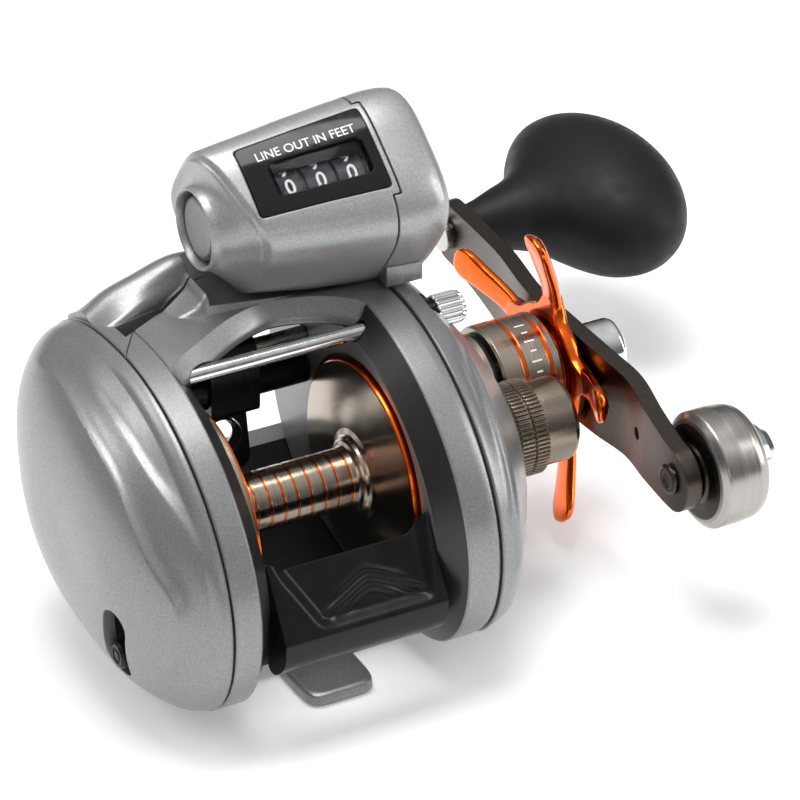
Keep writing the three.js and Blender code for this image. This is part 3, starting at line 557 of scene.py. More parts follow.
LEFT_DOME = [(-28, 1), (-32, 0.965), (-36, 0.88), (-39.5, 0.76), (-42.2, 0.6), (-43.8, 0.42), (-44.3, 0.22),
             (-44.3, 0.04)]
RIGHT_DOME = [(28, 1), (32.5, 0.955), (35.5, 0.85), (38.6, 0.72), (41.9, 0.57), (44.2, 0.4), (44.2, 0.06)]
CLICKER_SLOT = (-14.0, -12.5)
CLICKER_SLOPE = -1.36


def slot_outline(length, half_width, centre, slope, steps=16):
    """A slot with round ends, as [y, z] points."""
    points = []
    for end, start in ((length / 2, -math.pi / 2), (-length / 2, math.pi / 2)):
        for k in range(steps + 1):
            angle = start + math.pi * k / steps
            y, z = end + half_width * math.cos(angle), half_width * math.sin(angle)
            points.append((centre[0] + y * math.cos(slope) - z * math.sin(slope),
                           centre[1] + y * math.sin(slope) + z * math.cos(slope)))
    return points


def left_cover():
    cover = dome_cover("left_cover_shell", LEFT_DOME, carve_left)
    cut(cover, prism(slot_outline(9.5, 3.3, CLICKER_SLOT, CLICKER_SLOPE), "x", -50, -30))
    return place(cover, "frame", "silver_grey_paint", "left_side_cover")


def right_cover():
    cover = dome_cover("right_cover_shell", RIGHT_DOME, carve_right)
    cut(
        cover,
        rod(37, 47.9, 8.3, DRIVE_AXIS),
        rod(27, 50, 1.9, SCREW_AXIS),
        rod(32, 50, 4, SCREW_AXIS),
        counter_clearance(),
    )
    pad_profile = [(41, 0), (41, 8.7), (45.2, 8.7), (45.4, 8.4), (45.4, 7), (45.2, 6), (54, 6), (54, 0)]
    cast_pad = lathe("pad", pad_profile, SPOOL_AXIS, [PAINT])
    boss_profile = [(38, 8.3), (38, 9.3), (51.6, 9.3), (51.6, 5.4), (47.9, 5.4), (47.9, 8.3)]
    drive_boss = lathe("boss", boss_profile, DRIVE_AXIS, [PAINT], closed=True)
    join(cover, cast_pad, drive_boss)
    cut(cover, rod(37, 60, 4.8, SPOOL_AXIS))
    return place(cover, "frame", "silver_grey_paint", "right_side_cover")


# ---------------------------------------------------------------- counter
WINDOW_TILT = math.radians(126.2)
WINDOW_OUT = np.array([0, math.cos(WINDOW_TILT), math.sin(WINDOW_TILT)])
WINDOW_DOWN = np.array([0, -math.sin(WINDOW_TILT), math.cos(WINDOW_TILT)])
ALONG_X = np.array([1.0, 0, 0])
LEAN = 0.286  # how far along X the housing's left end leans, per mm down the window face
HOUSING_LEVELS = [
    # x, tall, wide, power of the rounded square, lean
    (-3.5, 11.75, 11.4, 3.0, LEAN), (-3.2, 11.95, 11.6, 3.1, LEAN), (-3.0, 12.0, 11.65, 3.1, LEAN),
    (-2.75, 12.35, 12.0, 3.2, LEAN), (-2.3, 12.85, 12.5, 3.4, LEAN), (-1.9, 13.0, 12.7, 3.4, LEAN),
    (3, 13.5, 13.35, 3.4, 0.2), (8, 13.9, 14.0, 3.4, 0.11), (12, 14.3, 14.6, 3.4, 0.05),
    (22, 14.85, 15.7, 3.4, 0.01), (30.3, 15.2, 16.4, 3.4, 0), (33.5, 15.1, 16.3, 3.4, 0),
    (35.6, 14.8, 15.9, 3.4, 0), (36.8, 14.2, 15.2, 3.4, 0), (37.7, 13.2, 14.1, 3.4, 0),
    (38.3, 11.9, 12.7, 3.4, 0), (38.6, 10.2, 10.9, 3.4, 0), (38.6, 6, 6.4, 3.4, 0),
]
BOSS_LEVELS = [
    (-8.0, 7.7, 7.7, 2, 0), (-7.9, 7.95, 7.95, 2, 0), (-7.6, 8.1, 8.1, 2, 0), (-7.0, 8.15, 8.15, 2, 0),
    (-6.5, 8.2, 8.2, 2, 0.005), (-6.0, 8.6, 8.6, 2.05, 0.03), (-5.4, 9.2, 9.2, 2.2, 0.08),
    (-4.8, 9.8, 9.7, 2.4, 0.14), (-4.2, 10.6, 10.3, 2.6, 0.2), (-3.8, 11.3, 10.95, 2.85, 0.26),
]
HOUSING_END = 25.7
RAIL_END = 27.3


def counter_point(x, height, down):
    """A point of the counter: x, height out of the window face, and distance down that face."""
    return np.array([x, *COUNTER_AXIS]) + height * WINDOW_OUT + down * WINDOW_DOWN


def housing_ring(x, tall, wide, power=3.4, lean=0.0, points=112):
    """A rounded square about the counter's axis, or a circle with a power of 2."""
    ring = []
    for k in range(points):
        angle = 2 * math.pi * k / points
        c, s = math.cos(angle), math.sin(angle)
        height = tall * math.copysign(abs(c) ** (2 / power), c)
        down = wide * math.copysign(abs(s) ** (2 / power), s)
        ring.append(counter_point(x + lean * down, height, down))
    return ring


def housing_solid(levels, materials=()):
    return skin("housing", [housing_ring(*level) for level in levels], list(materials))


def counter_outside(offset=0.0, boss=False, materials=()):
    """The housing and its end cap as one solid, moved out by offset."""
    levels = (BOSS_LEVELS if boss else []) + HOUSING_LEVELS
    grown = [(x, tall + offset, wide + offset, power, lean) for x, tall, wide, power, lean in levels]
    return housing_solid(grown, materials)


def counter_inside():
    return housing_solid([(0.2, 10.9, 10.6, 3.4, LEAN), (12, 12.3, 12.6, 3.4, 0.05), (30.3, 13.1, 14.3),
                          (35.5, 12.6, 13.6)])


def counter_clearance():
    return housing_solid([(-6.9, 13.4, 13.1), (12, 14.9, 15.2), (39.3, 16, 17.2)])


def window_block(rings, corner=0.9):
    """A block in the window's directions, from rings of height, x0, x1, down0, down1."""
    solid = []
    for height, x0, x1, down0, down1 in rings:
        corners = fillet([(x0, down0), (x1, down0), (x1, down1), (x0, down1)], corner, 4, closed=True)
        solid.append([counter_point(x, height, down) for x, down in corners])
    return skin("window", solid, [BLACK_GLOSS])


def panel_block(grow, materials=()):
    """A block with the window panel's outline, which widens towards the handle side."""
    x0, x1 = -grow, 26.2 + grow
    plan = [(x0, -7.9 - grow), (x1, -10 - grow), (x1, 7.2 + grow), (x0, 6.2 + grow)]
    corners = fillet(plan, 1.1, 5, closed=True)
    rings = [[counter_point(x, height, down) for x, down in corners] for height in (8, 25)]
    return skin("panel", rings, list(materials))


def housing_reach(grow):
    """The room the housing takes up: beside the panel it reaches over the end cap as a narrow rail."""
    body = slab(-20, HOUSING_END + grow, -20, 60, 20, 80)
    rail = window_block([(height, 20, RAIL_END + grow, -11.2 - grow, 8.7 + grow) for height in (0, 25)], 0.3)
    return join(body, rail)


def counter_body():
    """The housing: round at the reset button, flaring into a rounded square that grows towards the handle."""
    body = common(counter_outside(0, True, [COUNTER_PAINT]), housing_reach(0))
    body.data.materials.clear()
    body.data.materials.append(COUNTER_PAINT)
    pocket = cut(panel_block(0.22), counter_outside(-1.5))
    opening = window_block([(6, 3.4, 24.8, -4.2, 5.7), (20, 3.4, 24.8, -4.2, 5.7)])
    bore_profile = [(-12, 0), (-12, 7.8), (-8, 7.75), (-7.6, 7.3), (-6.6, 7.1), (-2, 7.1), (-2, 0)]
    bore = lathe("bore", bore_profile, COUNTER_AXIS, [])
    cut(body, counter_inside(), bore, pocket, opening, rod(-2.4, 4, 1.4, WHEEL_AXIS))
    return place(body, "frame", "silver_grey_paint", "counter_housing")


def counter_cap():
    cap = cut(counter_outside(0, False, [COUNTER_PAINT]), counter_inside(), housing_reach(0.42))
    cap.data.materials.clear()
    cap.data.materials.append(COUNTER_PAINT)
    return place(cap, "frame", "silver_grey_paint", "counter_end_cap")


def counter_panel():
    """The black window panel with its sloping recess. It follows the housing's surface."""
    panel = cut(common(panel_block(0, [BLACK_GLOSS]), counter_outside(0.1)), counter_outside(-1.2))
    cut(panel, window_block([(11.8, 6.6, 23.0, -2.8, 2.9), (15.2, 3.2, 24.3, -4.2, 3.7)], 1.2))
    return place(panel, "frame", "black_gloss", "counter_bezel")


def window_mask():
    """The sloping surround under the lens that lets one row of digits show."""
    mask = window_block([(12.0, 3.6, 24.6, -4.1, 5.6), (12.95, 3.6, 24.6, -4.1, 5.6)], 0.3)
    mask.data.materials[0] = WHEEL_SHADE
    surround = [(11.5, 7.2, 22.9, -1.1, 2.95), (12.95, 4.3, 23.9, -3.4, 3.2), (14, 4.3, 23.9, -3.4, 3.2)]
    cut(mask, window_block(surround, 1.0))
    cut(mask, rod(2, 25, 6.35, WHEEL_AXIS))
    mask.name = "window_mask"
    return place(mask, "frame", "black_plastic")


def lettering(name, text, size, centre, out, down, across, material, thickness=0.06, weight=0.0):
    """Raised letters, as a mesh."""
    curve = bpy.data.curves.new(name, "FONT")
    curve.body = text
    curve.size = size * MM
    curve.extrude = thickness * MM
    curve.offset = weight * MM
    curve.align_x = "CENTER"
    curve.align_y = "CENTER"
    source = bpy.data.objects.new(name, curve)
    bpy.context.scene.collection.objects.link(source)
    up = -np.asarray(down)
    rows = [[across[k], up[k], out[k], (centre[k] + ORIGIN[k]) * MM] for k in range(3)]
    turn = Matrix([*rows, [0, 0, 0, 1]])
    bpy.context.view_layer.update()
    mesh = bpy.data.meshes.new_from_object(source.evaluated_get(bpy.context.evaluated_depsgraph_get()))
    bpy.data.objects.remove(source)
    mesh.transform(turn)
    mesh.materials.clear()
    mesh.materials.append(material)
    body = bmesh.new()
    body.from_mesh(mesh)
    bmesh.ops.remove_doubles(body, verts=body.verts, dist=1e-7)
    bmesh.ops.recalc_face_normals(body, faces=body.faces)
    body.to_mesh(mesh)
    body.free()
    piece = bpy.data.objects.new(name, mesh)
    bpy.context.scene.collection.objects.link(piece)
    return piece


def housing_height(x, down):
    """The height of the housing's surface out of the window face."""
    level_x, tall, wide, power, lean = np.array(HOUSING_LEVELS[5:12]).T
    at = x - np.interp(x, level_x, lean) * down
    share = abs(down) / np.interp(at, level_x, wide)
    return np.interp(at, level_x, tall) * (1 - share ** 3.4) ** (1 / 3.4)


def counter_title():
    """The title, laid on the panel's curved surface."""
    origin = counter_point(0, 0, 0)
    title = lettering("counter_title", "LINE OUT IN FEET", 2.55, origin, WINDOW_OUT, WINDOW_DOWN, ALONG_X,
                      INK, 0.07, 0.01)
    for vertex in title.data.vertices:
        flat = np.array(vertex.co) / MM - ORIGIN - origin
        along, height, down = flat[0], flat @ WINDOW_OUT, flat @ WINDOW_DOWN
        x, lower = 13.5 + along, -5.5 + down - 0.035 * along
        vertex.co = (counter_point(x, housing_height(x, lower) + 0.13 + height, lower) + ORIGIN) * MM
    return place(title, "frame", "digit_black")


DIGIT_SIZE = 4.1
DIGIT_LEAD = math.radians(3)  # how far round the wheel the shown digit sits from the window's normal


def digit_wheel(place_name):
    """A grey wheel with raised flanks and the digits 0 to 9 round its rim."""
    node = "digit_wheel_" + place_name
    low_corner, high_corner = box_mm(node)
    x0, x1 = low_corner[0], high_corner[0]
    radius = (high_corner[2] - low_corner[2]) / 2
    wheel = lathe(node + "_drum", [(x0, 1.4), (x0, radius), (x0 + 0.5, radius), (x0 + 0.6, radius - 0.12),
                                   (x1 - 0.6, radius - 0.12), (x1 - 0.5, radius), (x1, radius), (x1, 1.4)],
                  WHEEL_AXIS, [GREY_PLASTIC], closed=True, corner=0.05)
    digits = []
    for digit in range(10):
        turn = WINDOW_TILT + DIGIT_LEAD + digit * 2 * math.pi / 10
        out = np.array([0, math.cos(turn), math.sin(turn)])
        down = np.array([0, -math.sin(turn), math.cos(turn)])
        centre = np.array([(x0 + x1) / 2, *WHEEL_AXIS]) + (radius - 0.1) * out
        digits.append(lettering(f"digit_{digit}", str(digit), DIGIT_SIZE, centre, out, down, ALONG_X,
                                INK, 0.09, 0.05))
    figures = merge(node + "_digits", *digits)
    place(wheel, place_name + "_wheel", "digit_black", node)
    place(figures, place_name + "_wheel", "digit_black")


def reset_button():
    x0, x1 = (corner[0] for corner in box_mm("counter_reset_button"))
    profile = [(x0 + 0.5, 0), (x0 + 0.45, 3.5), (x0 + 0.3, 5.4), (x0 + 0.5, 6.0), (x0 + 1.0, 6.3), (x1, 6.5), (x1, 0)]
    button = lathe("reset_button_cap", profile, COUNTER_AXIS, [BUTTON_PAINT])
    place(button, "reset_button", "dark_grey_paint", "counter_reset_button")


# ---------------------------------------------------------------- frame
FRAME_HALF = 27.5
SKIN = 3.0
RECESS_RADIUS = 23.2
HOOD_ARCH = [
    (-22, -3), (-20.6, 0.6), (-18, 2.6), (-12.4, 5.7), (-3, 11.2), (4.4, 13.3), (12.6, 10.8), (18.2, 6),
    (20.3, 1.5), (21.4, -5),
]


def hood_plan(shift):
    """The hood seen from above, as [x, y]. Its back edge is a low arch, moved forwards by shift."""
    arch = spline(HOOD_ARCH, 6)
    run = np.gradient(arch, axis=0)
    normal = np.stack([-run[:, 1], run[:, 0]], 1) / np.linalg.norm(run, axis=1)[:, None]
    moved = arch + normal * shift
    return [(-34, moved[0][1]), *map(tuple, moved), (34, moved[-1][1]), (34, 37), (-34, 37)]


def hood_shape():
    levels = (
        (12, 0), (28.2, 0), (29.0, 0.1), (29.5, 0.3), (30.1, 0.7), (31.9, 2.3), (32.4, 2.7), (32.9, 3.0), (40, 3.1),
    )
    rings = [[np.array([x, y, z]) for x, y in hood_plan(shift)] for z, shift in levels]
    # The inner wall below the chamfer takes SHADED, painted shade; the chamfer and top keep the silver paint.
    return skin("hood", rings, [PAINT, SHADED], lambda centre, k: int(k < 1))


def through_sections(sections, corner, steps=6):
    """A smooth solid through cross-sections, each given as its x and its corners [y, z]."""
    stations = np.array([x for x, corners in sections], float)
    shapes = np.array([corners for x, corners in sections], float)
    rings = []
    for row in spline(np.column_stack([stations, shapes.reshape(len(stations), -1)]), steps):
        flat = fillet(row[1:].reshape(-1, 2), corner, 4, closed=True)
        rings.append([np.array([row[0], y, z]) for y, z in flat])
    return skin("section", rings, [PAINT])


def front_arm():
    """The arm that rises from the left ring to the counter, in front of the slit."""
    def section(x, base, step, crest_y, crest_z):
        return x, [(base, 28), (base, step), (crest_y - 2.5, crest_z - 0.9), (crest_y, crest_z),
                   (crest_y + 3, crest_z - 1.4), (37, 27.5), (36, 24)]
    return through_sections([
        section(-27.3, 21.4, 31.4, 29, 31.9),
        section(-22, 22.4, 32.4, 30, 34.6),
        section(-16, 24.3, 33.2, 30, 36.6),
        section(-9, 25.8, 33.8, 30, 38.7),
        section(-3, 26.2, 34.4, 30, 38.6),
        section(4, 26.2, 34.4, 30, 37.6),
    ], 1.3)


def counter_saddle():
    """The saddle under the counter, which grows out of the hood."""
    return through_sections([
        (-14, [(17, 28), (18, 31.9), (24, 31.6), (25, 28)]),
        (-9, [(16, 29), (17.6, 33.6), (27, 34), (30, 27)]),
        (-3, [(15, 30), (18, 37), (30, 37.5), (36, 26)]),
        (25, [(15, 30), (18, 37), (30, 37), (36, 26)]),
    ], 1.2)


def groove(start, end, width, z0, z1):
    """A narrow V-groove cut down into the top, between two points [x, y]."""
    run = (end - start) / np.linalg.norm(end - start)
    side = np.array([-run[1], run[0]]) * width / 2
    top = [start - side, end - side, end + side, start + side]
    bottom = [start, end, end + side * 0.02, start + side * 0.02]
    return skin("groove", [[np.array([*p, z1]) for p in top], [np.array([*p, z0]) for p in bottom]], [])


def frame_shell():
    left_levels = [(-FRAME_HALF, 0.3), (-FRAME_HALF + 0.3, 0), (-22.4, 0), (-22, 0.3), (-18.5, 4.7), (-18.2, 5)]
    # The left ring's sloping inner face takes SHADED, painted shade.
    left_ring = outline_solid(left_levels, [PAINT, SHADED], lambda centre, k: int(centre[0] > -21.5))
    cut(left_ring, outline_solid([(-FRAME_HALF - 1, SKIN), (-21, SKIN)]),
        rod(-30, -10, RECESS_RADIUS, SPOOL_AXIS, 128))
    right_levels = [(16.8, 5), (17.1, 4.7), (20.7, 0.3), (21, 0), (25.4, 0), (26.9, 0.22), (FRAME_HALF, 0.5)]
    # The right ring's sloping inner face takes SHADED, painted shade.
    right_ring = outline_solid(right_levels, [PAINT, SHADED], lambda centre, k: int(centre[0] < 20.5))
    cut(right_ring, outline_solid([(21, SKIN), (FRAME_HALF + 1, SKIN)]),
        rod(10, 18.4, RECESS_RADIUS, SPOOL_AXIS, 128))

    def band():
        # The band's inner wall takes SHADED, painted shade, in the hood, floor plate and nose alike.
        return cut(outline_solid([(-22, 0), (21, 0)], [PAINT, SHADED]),
                   outline_solid([(-23, 4.5), (22, 4.5)], [PAINT, SHADED], lambda centre, k: 1))

    hood = common(band(), hood_shape())
    floor_plate = common(band(), slab(-20, 20, -10.5, 26, -34, -18))
    nose = common(band(), slab(-20, 20, 22, 50, -24, -11))
    # The whole floor plate takes SHADED: painted shade under the spool.
    for face in floor_plate.data.polygons:
        face.material_index = 1
    shell = join(left_ring, right_ring, hood, floor_plate, nose, front_arm(), counter_saddle())
    slit_plan = [(-24.5, 16.5), (-15.2, 22.3), (-8.6, 24.6), (-2.3, 26), (-14.3, 24.7), (-24.5, 21.6)]
    slit = prism(slit_plan, "z", 20, 45)
    cut(
        shell, slit,
        groove(np.array([-22.4, 17.8]), np.array([-28.5, 8.6]), 0.6, 31.6, 34),
        rod(15, 24, 5.3, SPOOL_AXIS),
        rod(-20, 20.3, 1.8, ROD_AXIS),
        rod(-20, 24, 2.5, WORM_AXIS),
        rod(-20.3, 30, 1.9, SCREW_AXIS),
        counter_clearance(),
        *[upright_rod(y, -34, -20, 1.6) for y in (-7, 9)],
        *[upright_rod(y, -26.4, -20, 2.9) for y in (-7, 9)],
    )
    return place(shell, "frame", "silver_grey_paint", "main_frame")


def circle(middle_a, middle_b, radius, segments):
    """A circle's points about [a, b], in two directions."""
    angles = [2 * math.pi * k / segments for k in range(segments)]
    return [(middle_a + radius * math.cos(angle), middle_b + radius * math.sin(angle)) for angle in angles]


def upright_rod(y, z0, z1, radius, segments=48):
    return prism(circle(0, y, radius, segments), "z", z0, z1)


def foot_plate():
    """The foot: a long plate with round ends and softened edges."""
    low_corner, high_corner = (corner - ORIGIN for corner in box_mm("reel_foot"))
    half_width = (high_corner[0] - low_corner[0]) / 2
    half_length = (high_corner[1] - low_corner[1]) / 2
    centre_y = (high_corner[1] + low_corner[1]) / 2
    z0, z1 = low_corner[2], high_corner[2]
    levels = (
        (z0, 0.5), (z0 + 0.25, 0.15), (z0 + 0.6, 0), (z1 - 0.9, 0), (z1 - 0.4, 0.15), (z1 - 0.1, 0.6), (z1, 1.2),
    )
    rings = []
    for z, inset in levels:
        ring = []
        for k in range(96):
            angle = 2 * math.pi * k / 96
            c, s = math.cos(angle), math.sin(angle)
            x = (half_width - inset) * math.copysign(abs(c) ** 0.36, c)
            y = (half_length - inset) * math.copysign(abs(s) ** 0.12, s)
            ring.append(np.array([x, centre_y + y, z]))
        rings.append(ring)
    foot = skin("foot_plate", rings, [DARK_PAINT])
    return place(foot, "frame", "dark_grey_paint", "reel_foot")


# ---------------------------------------------------------------- thumb bar
PAD_TOP = np.array([-26.6, 2.2])
PAD_LIP = np.array([-34.2, -9.6])
PAD_LENGTH = float(np.linalg.norm(PAD_LIP - PAD_TOP))
PAD_OUT = np.array([-(PAD_TOP - PAD_LIP)[1], (PAD_TOP - PAD_LIP)[0]]) / PAD_LENGTH
PEAK_X = 2.4


def side_distance(x, down, start, end):
    """Distance of a pad point from the line start-end, positive on its left."""
    run = np.subtract(end, start) / np.linalg.norm(np.subtract(end, start))
    return -(run[0] * (down - start[1]) - run[1] * (x - start[0]))


def ramp_up(value, start, end):
    return float(smoothstep(np.array(value), start, end))


def pad_depth(x, down):
    """How deep the pad is dished at x and a distance down it: a shield shape with soft walls."""
    left = side_distance(x, down, (-17.2, -1.5), (-9.0, 14.6))
    right = -side_distance(x, down, (16.4, -1), (14.6, 14.6))
    bottom = 13.2 - down
    wall = ramp_up(left, 0, 3.4) * ramp_up(right, 0, 2.2) * ramp_up(bottom, 0, 2.6)
    depth = 1.7 * wall
    for first, left_reach, right_reach, height in ((3.9, 9, 9, 0.3), (5.6, 12, 13, 0.5), (7.3, 10, 7, 0.45)):
        along = abs(x - PEAK_X)
        reach = right_reach if x > PEAK_X else left_reach
        off = (down - first - 0.5 * (math.sqrt(along ** 2 + 1.0) - 1)) * 0.9
        ridge = height * math.exp(-(off / 0.62) ** 2) - 0.35 * height * math.exp(-((off - 1.1) / 0.7) ** 2)
        depth -= ridge * (1 - ramp_up(along, reach - 4, reach)) * wall
    return depth


def thumb_bar():
    """The clutch bar: a dished shield with nested chevrons between two raised corners, over a plain apron."""
    x0, x1 = (corner[0] for corner in box_mm("thumb_bar"))
    last_row = 0.95
    apron = [
        PAD_TOP + (PAD_LIP - PAD_TOP) * (last_row + 0.01), PAD_LIP, (-33.4, -14.8), (-29.5, -18.6),
        (-26.5, -18.8), (-24.8, -12), (-23.6, -3),
    ]
    columns, rows = 132, 96
    rings = []
    for x in np.linspace(x0, x1, columns):
        horn = 3.4 * ramp_up(x, x1 - 4.5, x1) + 1.8 * ramp_up(-x, -x0 - 3.5, -x0)
        ring = []
        for v in np.linspace(0, last_row, rows):
            rise = horn * (1 - v) ** 2
            at = PAD_TOP + (PAD_LIP - PAD_TOP) * v - PAD_OUT * pad_depth(x, v * PAD_LENGTH)
            ring.append(np.array([x, at[0] + 0.25 * rise, at[1] + rise]))
        ring += [np.array([x, a, b]) for a, b in fillet(apron, 2.4, 6)]
        rings.append(ring)
    bar = skin("thumb_bar_skin", rings, [BLACK])
    cut(bar, rod(-20, 20, 23.6, SPOOL_AXIS, 160))
    return place(bar, "clutch_bar", "black_plastic", "thumb_bar")


# ---------------------------------------------------------------- spool and cast knob
ORANGE_LINES = 9
ARBOR = 5.8


def spool():
    """The spool: a grooved arbor with thin orange lines, and conical flanges with orange rims."""
    reach, groove = 11.4, 0.12
    lines = [-reach + 2 * reach * k / (ORANGE_LINES - 1) for k in range(ORANGE_LINES)]
    arbor = []
    for x in lines:
        arbor += [(x - 0.26, ARBOR), (x - 0.2, ARBOR - groove), (x + 0.2, ARBOR - groove), (x + 0.26, ARBOR)]
    side = [
        (12.6, ARBOR), (12.9, 6.1), (13.1, 6.9), (13.5, 7.3), (14.0, 7.5), (14.35, 7.9), (14.6, 9),
        (15.1, 14.5), (15.7, 21.6), (15.75, 21.9), (15.9, 22.1), (16.35, 22.15), (17.3, 22.2), (17.5, 22.0),
        (17.5, 21.5), (16.6, 19.6), (16, 7.6), (17.6, 5.6), (17.6, 1.8),
    ]
    profile = [(-x, r) for x, r in side[::-1]] + arbor + side

    def slot_of(x, radius):
        if abs(x) < 12 and min(abs(x - line) for line in lines) < 0.21:
            return 1
        return 1 if radius > 21.85 and -16.3 < x < 17.3 else 0

    piece = lathe("spool_turned", profile, SPOOL_AXIS, [SPOOL_METAL, ORANGE], 160, slot_of,
                  closed=True, corner=0.05)
    return place(piece, "spool_assembly", "champagne", "spool")


def knurl(teeth, depth, x0, x1):
    """A wave of straight teeth with steep flanks between x0 and x1."""
    def wave(x, radius, angle):
        if not x0 <= x <= x1 or radius < 9.2:
            return 0.0
        return -depth * min(1, max(0, 0.5 - 1.1 * math.cos(angle * teeth)))
    return wave


def cast_knob():
    x0 = box_mm("cast_control_knob")[0][0]
    teeth = 66
    radius = 9.5
    profile = [
        (0, 6.3), (0, 8.7), (0.2, 9.25), (0.4, radius), (2.95, radius), (3.1, 9.25), (3.1, 8.75), (3.4, 8.75),
        (3.4, 9.25), (3.55, radius), (6.2, radius), (6.4, 9.25), (6.5, 8.4), (12.6, 8.4), (13.3, 8.1),
        (13.9, 7.3), (13.9, 0), (10.1, 0), (10.1, 6.3),
    ]
    piece = lathe("cast_knob_turned", [(x0 + x, r) for x, r in profile], SPOOL_AXIS, [CAST_METAL], teeth * 8,
                  wave=knurl(teeth, 0.5, x0, x0 + 6.45), corner=0.04)
    return place(piece, "cast_knob", "bronze", "cast_control_knob")


# ---------------------------------------------------------------- star drag
STAR_HUB = 11.3
STAR_FIRST = math.radians(22.8)


def star_arm(angle):
    """A finger with a flat inner face and a rounded ridge, which leans back over the hub."""
    path = spline([(6.5, 66.8, 3.2, 1.7), (12, 66.8, 2.8, 1.75), (18, 65.9, 2.7, 1.9), (24, 63.8, 3.2, 2.05),
                   (28, 62.3, 3.7, 2.0), (30.2, 61.6, 2.8, 1.6), (31, 61.3, 0.6, 0.5)], 7)
    rings = []
    for radius, x, wide, thick in path:
        ring = []
        for k in range(28):
            turn = 2 * math.pi * k / 28
            c, s = math.cos(turn), math.sin(turn)
            bulge = thick * (s if s > 0 else 0.62 * math.copysign(abs(s) ** 0.4, s))
            ridge = 0.35 * thick * max(0, 1 - abs(c) * 3.2) if s > 0 else 0
            flat = np.array([x + HANDLE_X + bulge * 0.9 + ridge * 0.3, radius, wide * c])
            y = flat[1] * math.cos(angle) - flat[2] * math.sin(angle)
            z = flat[1] * math.sin(angle) + flat[2] * math.cos(angle)
            ring.append(np.array([flat[0], y + DRIVE_AXIS[0], z + DRIVE_AXIS[1]]))
        rings.append(ring)
    return skin("arm", rings, [ORANGE])


def star_web():
    """The plate that the fingers grow from, with a concave edge between each two of them."""
    rings = []
    for x, inset in ((65.3, 0.9), (65.5, 0.3), (66.1, 0), (67.2, 0), (67.9, 0.35), (68.2, 0.9)):
        ring = []
        for k in range(180):
            angle = 2 * math.pi * k / 180
            nearest = abs(math.remainder(angle - STAR_FIRST, 2 * math.pi / 5))
            radius = 12.9 + 4.5 * math.exp(-(nearest / 0.2) ** 2) - inset
            ring.append(np.array([x + HANDLE_X, DRIVE_AXIS[0] + radius * math.cos(angle),
                                  DRIVE_AXIS[1] + radius * math.sin(angle)]))
        rings.append(ring)
    return skin("web", rings, [ORANGE])


def star_drag():
    """The star: a champagne hub with two orange lines, and five orange fingers behind it."""
    x0 = box_mm("star_drag")[0][0]
    first_line, second_line = 5.0, 10.7
    profile = [(0, 5.4), (0, 10.9), (0.5, STAR_HUB)]
    for line in (first_line, second_line):
        profile += [(line - 0.5, STAR_HUB), (line - 0.45, STAR_HUB - 0.12)]
        profile += [(line + 0.45, STAR_HUB - 0.12), (line + 0.5, STAR_HUB)]
    profile += [(12.6, STAR_HUB), (13.3, 10.4), (13.5, 8.6), (16.9, 7.6), (16.9, 3.5), (2.7, 3.5), (2.7, 5.4)]

    def slot_of(x, radius):
        return 1 if radius > 11 and min(abs(x - x0 - first_line), abs(x - x0 - second_line)) < 0.48 else 0

    hub = lathe("hub", [(x0 + x, r) for x, r in profile], DRIVE_AXIS, [DRIVE_METAL, ORANGE], 144, slot_of,
                closed=True, corner=0.08)
    arms = [star_web(), *[star_arm(STAR_FIRST + k * 2 * math.pi / 5) for k in range(5)]]
    for arm in arms:
        arm.data.materials.clear()
        arm.data.materials.append(DRIVE_METAL)
        arm.data.materials.append(ORANGE)
        arm.data.polygons.foreach_set("material_index", [1] * len(arm.data.polygons))
    ticks = []
    for k in range(7):
        angle = math.radians(96 + 11 * k)
        c, s = math.cos(angle), math.sin(angle)
        tall = 2.2 if k % 2 == 0 else 1.3
        corners = []
        for x, side, out in itertools.product((-tall / 2, tall / 2), (-0.18, 0.18), (-0.15, 0.05)):
            r = STAR_HUB + out
            y, z = r * c - side * s, r * s + side * c
            corners.append((x0 + 7.85 + x, DRIVE_AXIS[0] + y, DRIVE_AXIS[1] + z))
        faces = [(0, 1, 3, 2), (4, 6, 7, 5), (0, 4, 5, 1), (2, 3, 7, 6), (0, 2, 6, 4), (1, 5, 7, 3)]
        ticks.append(make("tick", corners, faces, [INK]))
    marks = merge("star_hub_marks", *ticks)
    star = cut(join(hub, *arms), rod(x0 + 13, x0 + 18, 3.5, DRIVE_AXIS))
    star.name = "star_drag_skin"
    place(star, "star", "orange_anodised", "star_drag")
    place(marks, "star", "champagne")


